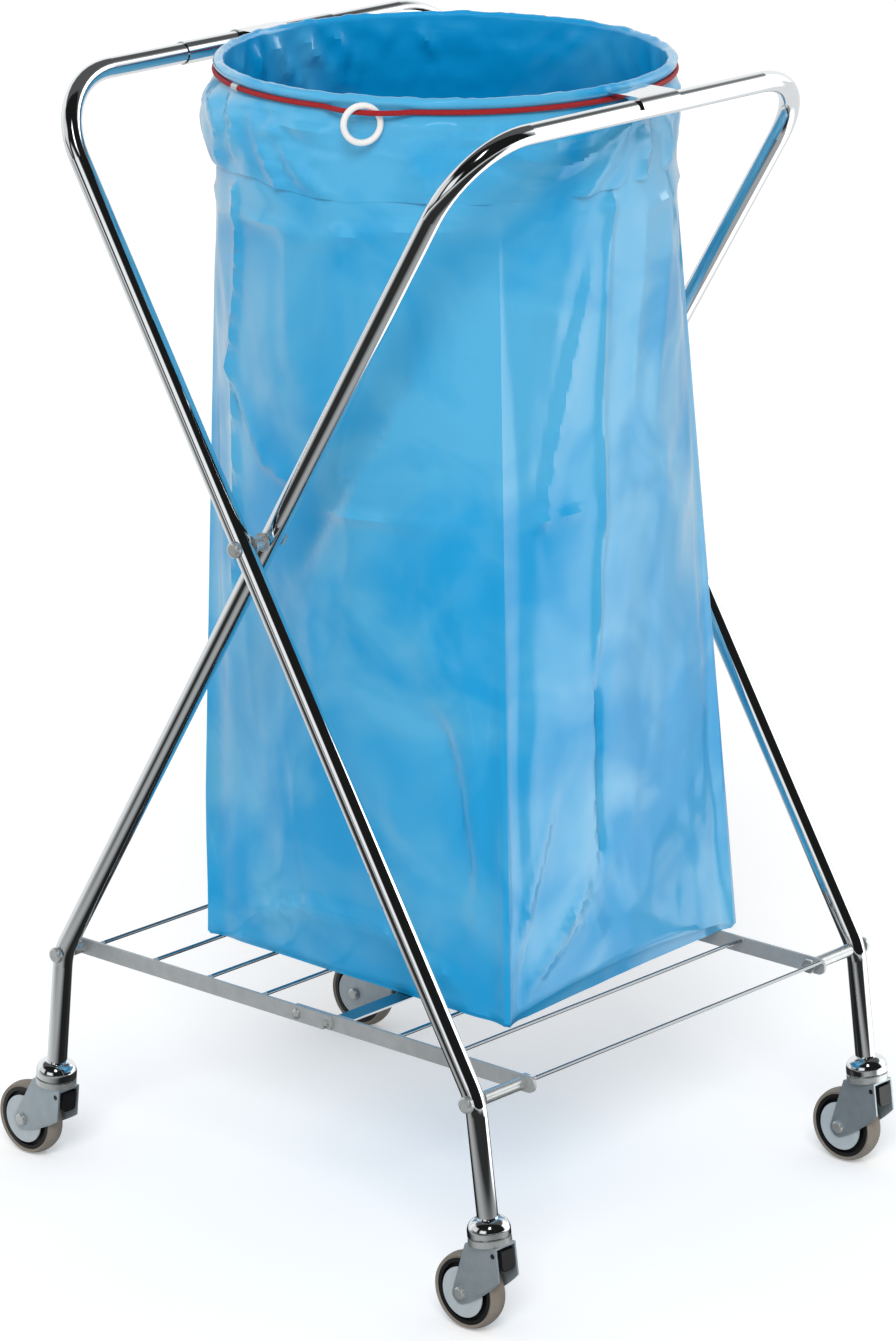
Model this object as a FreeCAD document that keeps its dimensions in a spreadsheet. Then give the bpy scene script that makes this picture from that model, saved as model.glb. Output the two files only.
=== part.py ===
import FreeCAD, Part
import math
import os
import Sketcher
from FreeCAD import Placement, Rotation, Vector

# Folding sack holder on casters, in millimetres.
# The origin is on the floor under the scissor pivot. X runs along the shelf rails, from the feet of the
# inner frame to the feet of the outer frame, Y along the two top bars, Z up.

doc = FreeCAD.newDocument("SackHolder")
sheet = doc.addObject("Spreadsheet::Sheet", "Sizes")

driving = [
    # bent tube frames
    ("tubeDiameter", 20), ("tubeWall", 1.5), ("outerWidth", 556), ("legGap", 16),
    ("pivotHeight", 700), ("kneeHeight", 225), ("outerTopHeight", 1108), ("innerTopHeight", 1101),
    ("outerBarReach", 244.2), ("innerBarReach", 252.5), ("shinLean", 7), ("topBend", 80), ("kneeBend", 60),
    # pins, spacers and nuts
    ("pinDiameter", 8), ("pinClearance", 0.1), ("pinHeadDiameter", 16), ("pinHeadHeight", 5),
    ("pinHeadRound", 3), ("washerDiameter", 18), ("washerThickness", 1.5), ("spacerDiameter", 12.5),
    ("seatGap", 0.1), ("nutWidth", 13), ("nutThickness", 6), ("pinPastNut", 2),
    # folding shelf
    ("railHeight", 16), ("railThickness", 3), ("openPivotSleeve", 15), ("openPivotGap", 0.3),
    ("lapGap", 0.3), ("railEnd", 9), ("hingeX", -3), ("lapEnd", 10), ("stopDistance", 39),
    ("stopEnd", 7), ("stopPinDiameter", 6), ("stopPinPast", 2), ("notchFlare", 2),
    ("rivetDiameter", 6), ("rivetHeadDiameter", 11), ("rivetHeadHeight", 2.5),
    ("wireDiameter", 4), ("wirePitch", 75), ("firstWire", 21), ("endWire", 12), ("frontPitch", 70),
    ("stripDistance", 58), ("stripWidth", 20), ("stripThickness", 2),
    # hoop and its brackets
    ("hoopDiameter", 425), ("hoopRod", 8), ("hoopRise", 12.5), ("bracketWall", 2.5),
    ("bracketClearance", 0.15), ("hingeBracketWidth", 56), ("clipWidth", 53), ("clipShift", 10),
    ("clipInnerWrap", 40), ("clipOuterWrap", 80), ("sleeveLength", 72), ("sleeveWall", 1.2),
    ("sleeveGap", 1),
    # elastic band, crimp and pull ring
    ("bandRadius", 216.3), ("bandDiameter", 5), ("bandDrop", 6.8), ("bulgeAngle", -66.5),
    ("bulgeHeight", 12.5), ("bulgeTopRadius", 60), ("bulgeFootRadius", 30), ("crimpLength", 12),
    ("crimpWall", 1), ("crimpAngle", -110), ("pullRingDiameter", 34), ("pullRingSection", 6),
    ("pullRingGap", 0.9), ("pullRingTurn", 32), ("pullRingSet", 12.4),
    # sack
    ("sackWall", 1), ("filmGap", 0.1), ("sackFloorGap", 0.3), ("cuffBulge", 222),
    ("cuffBulgeDrop", 75), ("cuffHem", 220), ("cuffDrop", 100), ("neckDrop", 95), ("neckRadius", 217),
    ("sackFrontX", 192), ("sackFrontY", -131), ("sackLeftX", -213), ("sackLeftY", -123),
    ("sackRightX", 159), ("sackRightY", 229), ("sackBackX", -236), ("sackBackY", 228),
    ("baseRound", 20), ("baseDrawIn", 12), ("slitGap", 0.6),
    # casters
    ("wheelDiameter", 75), ("wheelWidth", 20), ("trail", 32), ("casterDrop", 74), ("stemLength", 36),
    ("stemClearance", 0.05), ("headDiameter", 41), ("collarDiameter", 24), ("domeHeight", 11),
    ("domeRadius", 12), ("skirtHeight", 5), ("raceGap", 2), ("raceDiameter", 34),
    ("raceHeight", 6), ("runningGap", 0.3), ("sheetWall", 2), ("kingpinDiameter", 10),
    ("kingpinHead", 16), ("kingpinHeadHeight", 3), ("forkWidth", 28), ("forkFront", 19),
    ("forkCrownRear", 20), ("forkFrontDrop", 33), ("forkBelly", 150), ("forkJoggle", 1),
    ("joggleSet", 13), ("axleDiameter", 8),
    ("axleHead", 13), ("axleHeadHeight", 4), ("axleHeadRound", 2.5), ("bossRadius", 11),
    ("guardDiameter", 49), ("guardThickness", 1), ("coreDiameter", 65), ("coreWidth", 17),
    ("coreWeb", 6), ("coreRim", 4), ("hubDiameter", 22), ("treadEdge", 2.5), ("treadCrown", 24),
    ("pedalWidth", 17), ("pedalThickness", 4), ("pedalLength", 17), ("pedalBarrel", 7),
    ("pedalSet", 14.5), ("pedalDrop", 32), ("pedalReach", 2), ("pedalRound", 6),
    ("trunnionDiameter", 5),
]

for row, (alias, value) in enumerate(driving, start=1):
    sheet.set("A%d" % row, alias)
    sheet.set("B%d" % row, str(value))
    sheet.setAlias("B%d" % row, alias)
doc.recompute()

names = [alias for alias, value in driving]
subParts = []


def size(alias):
    return float(sheet.get(alias))


def amount(text):
    """Number that a sum of products of sizes stands for, such as "tubeDiameter / 2 + seatGap"."""
    total = 0.0
    sign = 1.0
    product = None
    divide = False
    for word in text.split():
        if word in ("+", "-"):
            if product is not None:
                total += sign * product
            sign = 1.0 if word == "+" else -1.0
            product = None
        elif word in ("*", "/"):
            divide = word == "/"
        else:
            value = size(word) if word in names else float(word)
            if product is None:
                product = value
            else:
                product = product / value if divide else product * value
    return total + sign * product


def minus(text):
    """The sum with every sign turned round."""
    turned = {"+": "-", "-": "+"}
    return "0 - " + " ".join(turned.get(word, word) for word in text.split())


def formula(text):
    """The same sum as an expression on the sheet's cells."""
    words = ["Sizes." + word if word in names else word for word in text.split()]
    return " ".join(words)


def bind(item, field, text):
    item.setExpression(field, formula(text))


def keep(item, label):
    """Give a sub-part the label that names its file."""
    item.Label = label
    subParts.append(item)
    return item


def feature(label, shape, placement=None):
    """Sub-part whose shape is made with Part's own functions."""
    item = doc.addObject("Part::Feature", label)
    item.Shape = shape
    if placement:
        item.Placement = placement
    return keep(item, label)


def originPlane(body, role):
    return [item for item in body.Origin.OriginFeatures if item.Role == role][0]


def sketchOf(body, name, plane, points):
    """Closed outline whose corners are bound to the sheet.

    A point is (x, y), or (x, y, radius, side) where an arc with that radius arrives at it: the arc's
    centre lies on the left of the chord for side 1 and on its right for side -1."""
    sketch = body.newObject("Sketcher::SketchObject", name)
    sketch.AttachmentSupport = [(originPlane(body, plane), "")]
    sketch.MapMode = "FlatFace"
    places = [Vector(amount(point[0]), amount(point[1]), 0) for point in points]
    count = len(points)
    for index in range(count):
        start = places[index]
        end = places[(index + 1) % count]
        target = points[(index + 1) % count]
        if len(target) == 2:
            sketch.addGeometry(Part.LineSegment(start, end))
            continue
        radius = amount(target[2])
        chord = end - start
        across = Vector(-chord.y, chord.x, 0).normalize() * target[3]
        reach = math.sqrt(max(radius ** 2 - (chord.Length / 2) ** 2, 0))
        centre = (start + end) / 2 + across * reach
        middle = centre - across * radius
        arc = Part.Arc(start, middle, end) if target[3] > 0 else Part.Arc(end, middle, start)
        sketch.addGeometry(arc)
    ends = []
    for index in range(count):
        geometry = sketch.Geometry[index]
        sameWay = geometry.StartPoint.distanceToPoint(places[index]) < 1e-6
        ends.append((1, 2) if sameWay else (2, 1))
    for index in range(count):
        following = (index + 1) % count
        sketch.addConstraint(Sketcher.Constraint(
            "Coincident", index, ends[index][1], following, ends[following][0]))
    for index, point in enumerate(points):
        for kind, text, value in (("DistanceX", point[0], places[index].x),
                                  ("DistanceY", point[1], places[index].y)):
            number = sketch.addConstraint(Sketcher.Constraint(
                kind, -1, 1, index, ends[index][0], value))
            sketch.setExpression("Constraints[%d]" % number, formula(text))
        if len(point) > 2:
            number = sketch.addConstraint(Sketcher.Constraint(
                "Radius", (index - 1) % count, amount(point[2])))
            sketch.setExpression("Constraints[%d]" % number, formula(point[2]))
    return sketch


def circleSketch(body, name, plane, x, y, diameter):
    """Sketch with one circle bound to the sheet."""
    sketch = body.newObject("Sketcher::SketchObject", name)
    sketch.AttachmentSupport = [(originPlane(body, plane), "")]
    sketch.MapMode = "FlatFace"
    centre = Vector(amount(x), amount(y), 0)
    sketch.addGeometry(Part.Circle(centre, Vector(0, 0, 1), amount(diameter) / 2))
    for kind, text, value in (("DistanceX", x, centre.x), ("DistanceY", y, centre.y)):
        number = sketch.addConstraint(Sketcher.Constraint(kind, -1, 1, 0, 3, value))
        sketch.setExpression("Constraints[%d]" % number, formula(text))
    number = sketch.addConstraint(Sketcher.Constraint("Diameter", 0, amount(diameter)))
    sketch.setExpression("Constraints[%d]" % number, formula(diameter))
    return sketch


def newBody(name):
    return doc.addObject("PartDesign::Body", name)


def revolve(body, name, plane, axisRole, points):
    """Turned solid: a full turn of the outline about an axis of the body's origin."""
    sketch = sketchOf(body, name + "Outline", plane, points)
    turned = body.newObject("PartDesign::Revolution", name)
    turned.Profile = sketch
    turned.ReferenceAxis = (originPlane(body, axisRole), [""])
    turned.Angle = 360
    return turned


def pad(body, name, plane, points, length):
    """Plate with the outline's form, centred on the sketch plane."""
    sketch = sketchOf(body, name + "Outline", plane, points)
    plate = body.newObject("PartDesign::Pad", name)
    plate.Profile = sketch
    plate.Midplane = True
    bind(plate, "Length", length)
    return plate


def drill(body, name, plane, x, y, diameter):
    """Round hole through the whole body, both ways from the plane."""
    sketch = circleSketch(body, name + "Circle", plane, x, y, diameter)
    hole = body.newObject("PartDesign::Pocket", name)
    hole.Profile = sketch
    hole.Type = "ThroughAll"
    hole.Midplane = True
    return hole


def copies(label, source, placements):
    """Group of equal pieces: separate solids in one node."""
    shapes = []
    for placement in placements:
        shape = source.Shape.copy()
        shape.Placement = placement.multiply(shape.Placement)
        shapes.append(shape)
    return feature(label, Part.makeCompound(shapes))


# Lines of the two frames, seen from the side: pivot, knees, top bars and tube ends

def stemFoot(way):
    """Height of the lower end of a leg (way 1 outer frame, -1 inner), its wheel trailing to -X."""
    lean = math.radians(size("shinLean"))
    return (size("wheelDiameter") / 2 + size("casterDrop") * math.cos(lean)
            + way * size("trail") * math.sin(lean))


def sideLine(way):
    """Foot, knee and top of a leg in the XZ plane."""
    topZ = size("outerTopHeight") if way > 0 else size("innerTopHeight")
    reach = size("outerBarReach") if way > 0 else size("innerBarReach")
    shin = math.radians(size("shinLean"))
    kneeX = way * (size("pivotHeight") - size("kneeHeight")) * reach / (topZ - size("pivotHeight"))
    footZ = stemFoot(way)
    footX = kneeX + way * (size("kneeHeight") - footZ) * math.tan(shin)
    return (footX, footZ), (kneeX, size("kneeHeight")), (-way * reach, topZ)


def roundedPath(points, radii):
    """Wire of straight runs joined by tangent arcs."""
    edges = []
    last = points[0]
    for index, radius in enumerate(radii, start=1):
        corner = points[index]
        back = (points[index - 1] - corner).normalize()
        onward = (points[index + 1] - corner).normalize()
        half = back.getAngle(onward) / 2
        run = radius / math.tan(half)
        start = corner + back * run
        end = corner + onward * run
        inward = (back + onward).normalize()
        middle = corner + inward * (radius / math.sin(half) - radius)
        edges.append(Part.LineSegment(last, start).toShape())
        edges.append(Part.Arc(start, middle, end).toShape())
        last = end
    edges.append(Part.LineSegment(last, points[-1]).toShape())
    return Part.Wire(edges)


def sweptRound(path, diameter):
    """Round bar along a path."""
    edge = path.Edges[0]
    start = edge.valueAt(edge.FirstParameter)
    along = edge.tangentAt(edge.FirstParameter)
    ring = Part.Wire([Part.makeCircle(diameter / 2, start, along)])
    return path.makePipeShell([ring], True, False)


def crossBar(x, y, z, diameter, length):
    """Round bar along Y, from y on."""
    return Part.makeCylinder(diameter / 2, length, Vector(x, y, z), Vector(0, 1, 0))


def bentFrame(label, way, width, holes):
    """One tube bent to a U: top bar, two legs with a knee, and the drilled holes for the pins."""
    foot, knee, top = sideLine(way)
    half = width / 2
    near = [Vector(x, -half, z) for x, z in (foot, knee, top)]
    far = [Vector(x, half, z) for x, z in (top, knee, foot)]
    bends = [size("kneeBend"), size("topBend"), size("topBend"), size("kneeBend")]
    path = roundedPath(near + far, bends)
    tube = sweptRound(path, size("tubeDiameter"))
    bore = sweptRound(path, size("tubeDiameter") - 2 * size("tubeWall"))
    tube = tube.cut(bore)
    drillDiameter = size("pinDiameter") + 2 * size("pinClearance")
    for x, z in holes:
        tube = tube.cut(crossBar(x, -width, z, drillDiameter, 2 * width))
    return feature(label, tube)


def kneeHole(way):
    """Centre of the bent tube at its knee: the pin goes through the middle of the bend."""
    foot, knee, top = [Vector(x, 0, z) for x, z in sideLine(way)]
    back = (foot - knee).normalize()
    onward = (top - knee).normalize()
    half = back.getAngle(onward) / 2
    middle = knee + (back + onward).normalize() * (size("kneeBend") / math.sin(half) - size("kneeBend"))
    return middle.x, middle.z


innerWidth = size("outerWidth") - 2 * size("tubeDiameter") - 2 * size("legGap")
outerKnee = kneeHole(1)
innerKnee = kneeHole(-1)
pivot = (0, size("pivotHeight"))
bentFrame("outer_frame_tube", 1, size("outerWidth"), [pivot, outerKnee])
bentFrame("inner_frame_tube", -1, innerWidth, [pivot, innerKnee])

# Faces across the stand, measured from the middle plane

outerFace = size("outerWidth") / 2 + size("tubeDiameter") / 2
outerInside = size("outerWidth") / 2 - size("tubeDiameter") / 2
innerFace = innerWidth / 2 + size("tubeDiameter") / 2
innerInside = innerWidth / 2 - size("tubeDiameter") / 2
rearRailFace = innerInside - size("openPivotSleeve")
rearRailInside = rearRailFace - size("railThickness")
frontRailFace = rearRailInside - size("lapGap")
frontRailInside = frontRailFace - size("railThickness")
nearAndFar = (-1, 1)


# Pins, spacers, washers and nuts, each turned about its own Z with its seat at z = 0

def facing(x, y, z, side):
    """Place of a turned piece whose axis points to -Y (side -1) or +Y (side 1)."""
    return Placement(Vector(x, y, z), Rotation(Vector(0, 0, 1), Vector(0, side, 0)))


def onBothSides(x, y, z, inwards=False):
    """Places at y and -y, the axis pointing outwards, or inwards."""
    return [facing(x, side * y, z, -side if inwards else side) for side in nearAndFar]


def domedPin(name, foot):
    """Pin with a domed head above its seat and a shank down to the height foot."""
    body = newBody(name)
    revolve(body, name + "Turned", "XZ_Plane", "Z_Axis", [
        ("0", foot), ("pinDiameter / 2", foot), ("pinDiameter / 2", "0"), ("pinHeadDiameter / 2", "0"),
        ("pinHeadDiameter / 2", "pinHeadHeight - pinHeadRound"),
        ("pinHeadDiameter / 2 - pinHeadRound", "pinHeadHeight", "pinHeadRound", 1),
        ("0", "pinHeadHeight")])
    return body


def ringPiece(name, outer, inner, height):
    """Washer, sleeve or spacer between two radii, standing on z = 0."""
    body = newBody(name)
    revolve(body, name + "Turned", "XZ_Plane", "Z_Axis", [
        (inner, "0"), (outer, "0"), (outer, height), (inner, height)])
    return body


def hexNut(name, width, height, bore):
    """Hexagon nut standing on z = 0."""
    prism = doc.addObject("Part::Prism", name + "Prism")
    prism.Polygon = 6
    prism.setExpression("Circumradius", formula(width) + " / 2 / cos(30 deg)")
    bind(prism, "Height", height)
    hole = doc.addObject("Part::Cylinder", name + "Bore")
    bind(hole, "Radius", bore)
    bind(hole, "Height", height)
    cut = doc.addObject("Part::Cut", name)
    cut.Base = prism
    cut.Tool = hole
    return cut


pinBore = "pinDiameter / 2 + pinClearance"
pivotPin = domedPin("PivotPin", "0 - 2 * tubeDiameter - legGap - seatGap - nutThickness - pinPastNut")
frontPin = domedPin("FrontPin", "0 - 2 * tubeDiameter - legGap - openPivotSleeve - lapGap"
                    " - 2 * railThickness - seatGap - nutThickness - pinPastNut")
rearPin = domedPin("RearPin", "0 - tubeDiameter")
washer = ringPiece("Washer", "washerDiameter / 2", pinBore, "washerThickness")
pivotSpacer = ringPiece("PivotSpacer", "spacerDiameter / 2", pinBore, "legGap"
                        " - 2 * washerThickness - 2 * seatGap")
frontSpacer = ringPiece("FrontSpacer", "spacerDiameter / 2", pinBore, "legGap + tubeDiameter"
                        " + openPivotSleeve + railThickness + lapGap - 2 * seatGap")
nut = hexNut("Nut", "nutWidth", "nutThickness", pinBore)

openStub = newBody("OpenStub")  # sleeve and spigot riveted to the rear rail, seat at its outer face
revolve(openStub, "OpenStubTurned", "XZ_Plane", "Z_Axis", [
    ("0", "0 - railThickness - rivetHeadHeight"),
    ("rivetHeadDiameter / 2", "0 - railThickness - rivetHeadHeight"),
    ("rivetHeadDiameter / 2", "0 - railThickness"), ("pinDiameter / 2", "0 - railThickness"),
    ("pinDiameter / 2", "0"), ("spacerDiameter / 2", "0"),
    ("spacerDiameter / 2", "openPivotSleeve - openPivotGap"), ("0", "openPivotSleeve - openPivotGap")])

midRivet = newBody("MidRivet")  # seat at the outer face of the rear rail, closed on the front rail
revolve(midRivet, "MidRivetTurned", "XZ_Plane", "Z_Axis", [
    ("0", "0 - 2 * railThickness - lapGap - rivetHeadHeight"),
    ("rivetHeadDiameter / 2", "0 - 2 * railThickness - lapGap - rivetHeadHeight"),
    ("rivetHeadDiameter / 2", "0 - 2 * railThickness - lapGap"),
    ("rivetDiameter / 2", "0 - 2 * railThickness - lapGap"), ("rivetDiameter / 2", "seatGap"),
    ("rivetHeadDiameter / 2", "seatGap"),
    ("rivetHeadDiameter / 4", "rivetHeadHeight + seatGap", "rivetHeadDiameter / 3", 1),
    ("0", "rivetHeadHeight + seatGap")])

stopPin = newBody("StopPin")  # seat at the outer face of the front rail, reaching past the rear rail
revolve(stopPin, "StopPinTurned", "XZ_Plane", "Z_Axis", [
    ("0", "0 - railThickness"), ("stopPinDiameter / 2", "0 - railThickness"),
    ("stopPinDiameter / 2", "lapGap + railThickness + stopPinPast"),
    ("0", "lapGap + railThickness + stopPinPast")])
doc.recompute()

pivotZ = size("pivotHeight")
copies("pivot_bolts", pivotPin, onBothSides(0, outerFace, pivotZ))
copies("pivot_nuts", nut, onBothSides(0, innerInside - size("seatGap"), pivotZ, True))
copies("pivot_spacers", pivotSpacer,
       onBothSides(0, outerInside - size("washerThickness") - size("seatGap") / 2, pivotZ, True))
copies("pivot_washers", washer,
       onBothSides(0, outerInside, pivotZ, True)
       + onBothSides(0, innerFace + size("seatGap"), pivotZ))
copies("shelf_bolts", frontPin, onBothSides(outerKnee[0], outerFace, outerKnee[1]))
copies("shelf_spacers", frontSpacer,
       onBothSides(outerKnee[0], outerInside - size("seatGap"), outerKnee[1], True))
copies("shelf_nuts", nut,
       onBothSides(outerKnee[0], frontRailInside - size("seatGap"), outerKnee[1], True))
copies("knee_rivets", rearPin, onBothSides(innerKnee[0], innerFace, innerKnee[1]))


# Folding shelf: two welded halves of flat rails and cross wires, lapped at the middle rivets

def flatBar(x1, z1, x2, z2, before, past, face, side):
    """Rail between two centres, rounded at both ends, its outer face at the distance face."""
    along = Vector(x2 - x1, 0, z2 - z1)
    length = along.Length + before + past
    high = size("railHeight")
    thick = size("railThickness")
    plate = Part.makeBox(length - high, thick, high, Vector(high / 2 - before, 0, -high / 2))
    for x in (high / 2 - before, length - high / 2 - before):
        plate = plate.fuse(Part.makeCylinder(high / 2, thick, Vector(x, 0, 0), Vector(0, 1, 0)))
    plate = plate.removeSplitter()
    plate.Placement = Placement(Vector(x1, face - thick if side > 0 else -face, z1),
                                Rotation(Vector(1, 0, 0), along))
    return plate


def across(x, z, reach):
    """Cross wire from rail to rail, its top level with the rails."""
    high = z + size("railHeight") / 2 - size("wireDiameter") / 2
    return crossBar(x, -reach, high, size("wireDiameter"), 2 * reach)


hinge = (size("hingeX"), innerKnee[1]
         + (outerKnee[1] - innerKnee[1]) * (size("hingeX") - innerKnee[0]) / (outerKnee[0] - innerKnee[0]))
stop = (hinge[0] + size("stopDistance"), hinge[1])

holeDiameter = size("pinDiameter") + 2 * size("pinClearance")
rivetHole = size("rivetDiameter") + 2 * size("pinClearance")
frontHalf = []
rearHalf = []
for side in nearAndFar:
    bar = flatBar(*hinge, *outerKnee, size("lapEnd"), size("endWire") + size("wireDiameter"),
                  frontRailFace, side)
    low = -frontRailFace - 1 if side < 0 else frontRailInside - 1
    deep = size("railThickness") + 2
    bar = bar.cut(crossBar(outerKnee[0], low, outerKnee[1], holeDiameter, deep))
    bar = bar.cut(crossBar(hinge[0], low, hinge[1], size("rivetDiameter"), deep))
    bar = bar.cut(crossBar(stop[0], low, stop[1], size("stopPinDiameter"), deep))
    frontHalf.append(bar)

    bar = flatBar(*innerKnee, *hinge, size("railEnd"), size("stopDistance") + size("stopEnd"),
                  rearRailFace, side)
    low = -rearRailFace - 1 if side < 0 else rearRailInside - 1
    bar = bar.cut(crossBar(innerKnee[0], low, innerKnee[1], size("pinDiameter"), deep))
    bar = bar.cut(crossBar(hinge[0], low, hinge[1], rivetHole, deep))
    seat = size("stopPinDiameter") / 2 + size("pinClearance")
    flare = seat + size("notchFlare")
    bottom = stop[1] - size("railHeight")
    corners = [Vector(stop[0] + x, low, z) for x, z in (
        (-seat, stop[1]), (seat, stop[1]), (flare, bottom), (-flare, bottom), (-seat, stop[1]))]
    notch = Part.Face(Part.makePolygon(corners)).extrude(Vector(0, deep, 0))
    notch = notch.fuse(crossBar(stop[0], low, stop[1], 2 * seat, deep))
    rearHalf.append(bar.cut(notch))

for number in range(4):
    rearHalf.append(across(innerKnee[0] + size("firstWire") + number * size("wirePitch"),
                           innerKnee[1], rearRailInside))
for number in (1, 2):
    frontHalf.append(across(hinge[0] + size("stripDistance") + number * size("frontPitch"),
                            hinge[1], frontRailInside))
frontHalf.append(across(outerKnee[0] + size("endWire"), outerKnee[1], frontRailInside))
strip = Part.makeBox(size("stripWidth"), 2 * frontRailInside, size("stripThickness"), Vector(
    hinge[0] + size("stripDistance") - size("stripWidth") / 2, -frontRailInside,
    hinge[1] + size("railHeight") / 2 - size("stripThickness")))
frontHalf.append(strip)
feature("shelf_front", frontHalf[0].fuse(frontHalf[1:]))
feature("shelf_rear", rearHalf[0].fuse(rearHalf[1:]))
copies("middle_rivets", midRivet, onBothSides(hinge[0], rearRailFace, hinge[1]))
copies("stop_pins", stopPin, onBothSides(stop[0], frontRailFace, stop[1]))
copies("open_pivot_sleeves", openStub, onBothSides(innerKnee[0], rearRailFace, innerKnee[1]))


# Mouth: hoop, its hinge bracket on the outer frame's bar and its clip on the inner frame's bar.
# Local frame: origin on the outer bar's axis, X towards the inner bar's axis.

outerBar = sideLine(1)[2]
innerBar = sideLine(-1)[2]
span = Vector(innerBar[0] - outerBar[0], 0, innerBar[1] - outerBar[1])
mouthTurn = Rotation(Vector(1, 0, 0), span)
mouth = Placement(Vector(outerBar[0], 0, outerBar[1]), mouthTurn)
hoopCentre = Vector(span.Length / 2, 0, size("hoopRise"))


def inMouth(x, y, z, turn=Rotation()):
    """Place given in the mouth's local frame."""
    return mouth.multiply(Placement(Vector(x, y, z), turn))


hoop = doc.addObject("Part::Torus", "hoop")
bind(hoop, "Radius1", "hoopDiameter / 2")
bind(hoop, "Radius2", "hoopRod / 2")
hoop.Placement = inMouth(*hoopCentre)
keep(hoop, "hoop")

barReach = span.Length / 2 - size("hoopDiameter") / 2  # from a bar's axis to the hoop's rod
hoopRound = Part.makeTorus(size("hoopDiameter") / 2, size("hoopRod") / 2)


def hoopBracket(label, side, width, shift, fromAngle, toAngle):
    """Strap round a bar with a tongue welded to the hoop, for the bar on side -1 (x = 0) or 1.

    The angles run from the hoop's side (0) over the top (90) and down the far side (180)."""
    inner = size("tubeDiameter") / 2 + size("bracketClearance")
    outer = inner + size("bracketWall")
    strap = Part.makeCylinder(outer, width, Vector(), Vector(0, 1, 0)).cut(
        Part.makeCylinder(inner, width, Vector(), Vector(0, 1, 0)))
    if toAngle - fromAngle < 360:
        reach = 4 * outer  # the cutting wedge passes well beyond the strap
        sweep = [Vector()]
        steps = 8
        for step in range(steps + 1):
            angle = math.radians(toAngle + (360 + fromAngle - toAngle) * step / steps)
            sweep.append(Vector(reach * math.cos(angle), 0, reach * math.sin(angle)))
        sweep.append(Vector())
        strap = strap.cut(Part.Face(Part.makePolygon(sweep)).extrude(Vector(0, width, 0)))
    tongue = Part.makeBox(barReach, width, size("bracketWall"), Vector(0, 0, inner))
    bracket = strap.fuse(tongue).removeSplitter()
    bracket.translate(Vector(0, shift - width / 2, 0))
    ring = hoopRound.copy()
    ring.translate(Vector(span.Length / 2, 0, size("hoopRise")))
    bracket = bracket.cut(ring)
    if side > 0:
        bracket = bracket.mirror(Vector(span.Length / 2, 0, 0), Vector(1, 0, 0))
    return feature(label, bracket, mouth)


hoopBracket("hinge_bracket", -1, size("hingeBracketWidth"), 0, 0, 360)
hoopBracket("bar_clip", 1, size("clipWidth"), size("clipShift"),
            90 - size("clipInnerWrap"), 90 + size("clipOuterWrap"))

sleeve = ringPiece("BarSleeve", "tubeDiameter / 2 + sleeveWall", "tubeDiameter / 2", "sleeveLength")
doc.recompute()
sleeveStart = size("hingeBracketWidth") / 2 + size("sleeveGap")
copies("bar_sleeves", sleeve, [facing(outerBar[0], side * sleeveStart, outerBar[1], side)
                               for side in nearAndFar])


# Elastic band under the hoop, lifted off the film where the pull ring hangs on it

def polar(radius, angle):
    return Vector(radius * math.cos(math.radians(angle)), radius * math.sin(math.radians(angle)), 0)


bandRadius = size("bandRadius")
topRadius = size("bulgeTopRadius")
footRadius = size("bulgeFootRadius")
topDistance = bandRadius + size("bulgeHeight") - topRadius
toFoot = bandRadius + footRadius
footAngle = math.degrees(math.acos(
    (toFoot ** 2 + topDistance ** 2 - (topRadius + footRadius) ** 2) / (2 * toFoot * topDistance)))
bulgeAngle = size("bulgeAngle")
topCentre = polar(topDistance, bulgeAngle)
bandEdges = []
joints = []
for side in nearAndFar:
    footCentre = polar(toFoot, bulgeAngle + side * footAngle)
    onBand = polar(bandRadius, bulgeAngle + side * footAngle)
    toTop = (topCentre - footCentre).normalize()
    onTop = footCentre + toTop * footRadius
    middle = footCentre + ((onBand - footCentre).normalize() + toTop).normalize() * footRadius
    joints.append((onBand, middle, onTop))
bandEdges.append(Part.Arc(joints[1][0], polar(bandRadius, bulgeAngle + 180), joints[0][0]).toShape())
bandEdges.append(Part.Arc(*joints[0]).toShape())
bandEdges.append(Part.Arc(joints[0][2], polar(bandRadius + size("bulgeHeight"), bulgeAngle),
                          joints[1][2]).toShape())
bandEdges.append(Part.Arc(*reversed(joints[1])).toShape())
bandPath = Part.Wire(bandEdges)
bandPlace = inMouth(hoopCentre.x, hoopCentre.y, hoopCentre.z - size("bandDrop"))
feature("elastic_band", sweptRound(bandPath, size("bandDiameter")), bandPlace)

ringHang = (size("pullRingDiameter") - size("pullRingSection") - size("bandDiameter")) / 2
ringCentre = polar(bandRadius + size("pullRingSet"), bulgeAngle)
ringCentre.z = -ringHang + size("pullRingGap")
ringFacing = Rotation(Vector(0, 0, 1), bulgeAngle + size("pullRingTurn")).multiply(
    Rotation(Vector(0, 0, 1), Vector(1, 0, 0)))
pullRing = doc.addObject("Part::Torus", "pull_ring")
bind(pullRing, "Radius1", "pullRingDiameter / 2")
bind(pullRing, "Radius2", "pullRingSection / 2")
pullRing.Placement = bandPlace.multiply(Placement(ringCentre, ringFacing))
keep(pullRing, "pull_ring")


# Sack: a film hanging inside the hoop, turned down over it as a cuff and held by the band

wall = size("sackWall")
rodRadius = size("hoopRod") / 2
hoopRadius = size("hoopDiameter") / 2
filmInner = rodRadius + size("filmGap")
filmOuter = filmInner + wall
floorZ = hinge[1] + size("railHeight") / 2 + size("sackFloorGap")
sackBase = [Vector(size("sack" + name + "X"), size("sack" + name + "Y"), 0)
            for name in ("Front", "Right", "Back", "Left")]
middleX = outerBar[0] + span.Length / 2
hoopZ = (outerBar[1] + innerBar[1]) / 2 + size("hoopRise")
cornerAngles = [math.atan2(corner.y, corner.x - middleX) for corner in sackBase]
inHoop = inMouth(*hoopCentre)
level = Placement(Vector(middleX, 0, hoopZ), Rotation())


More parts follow.
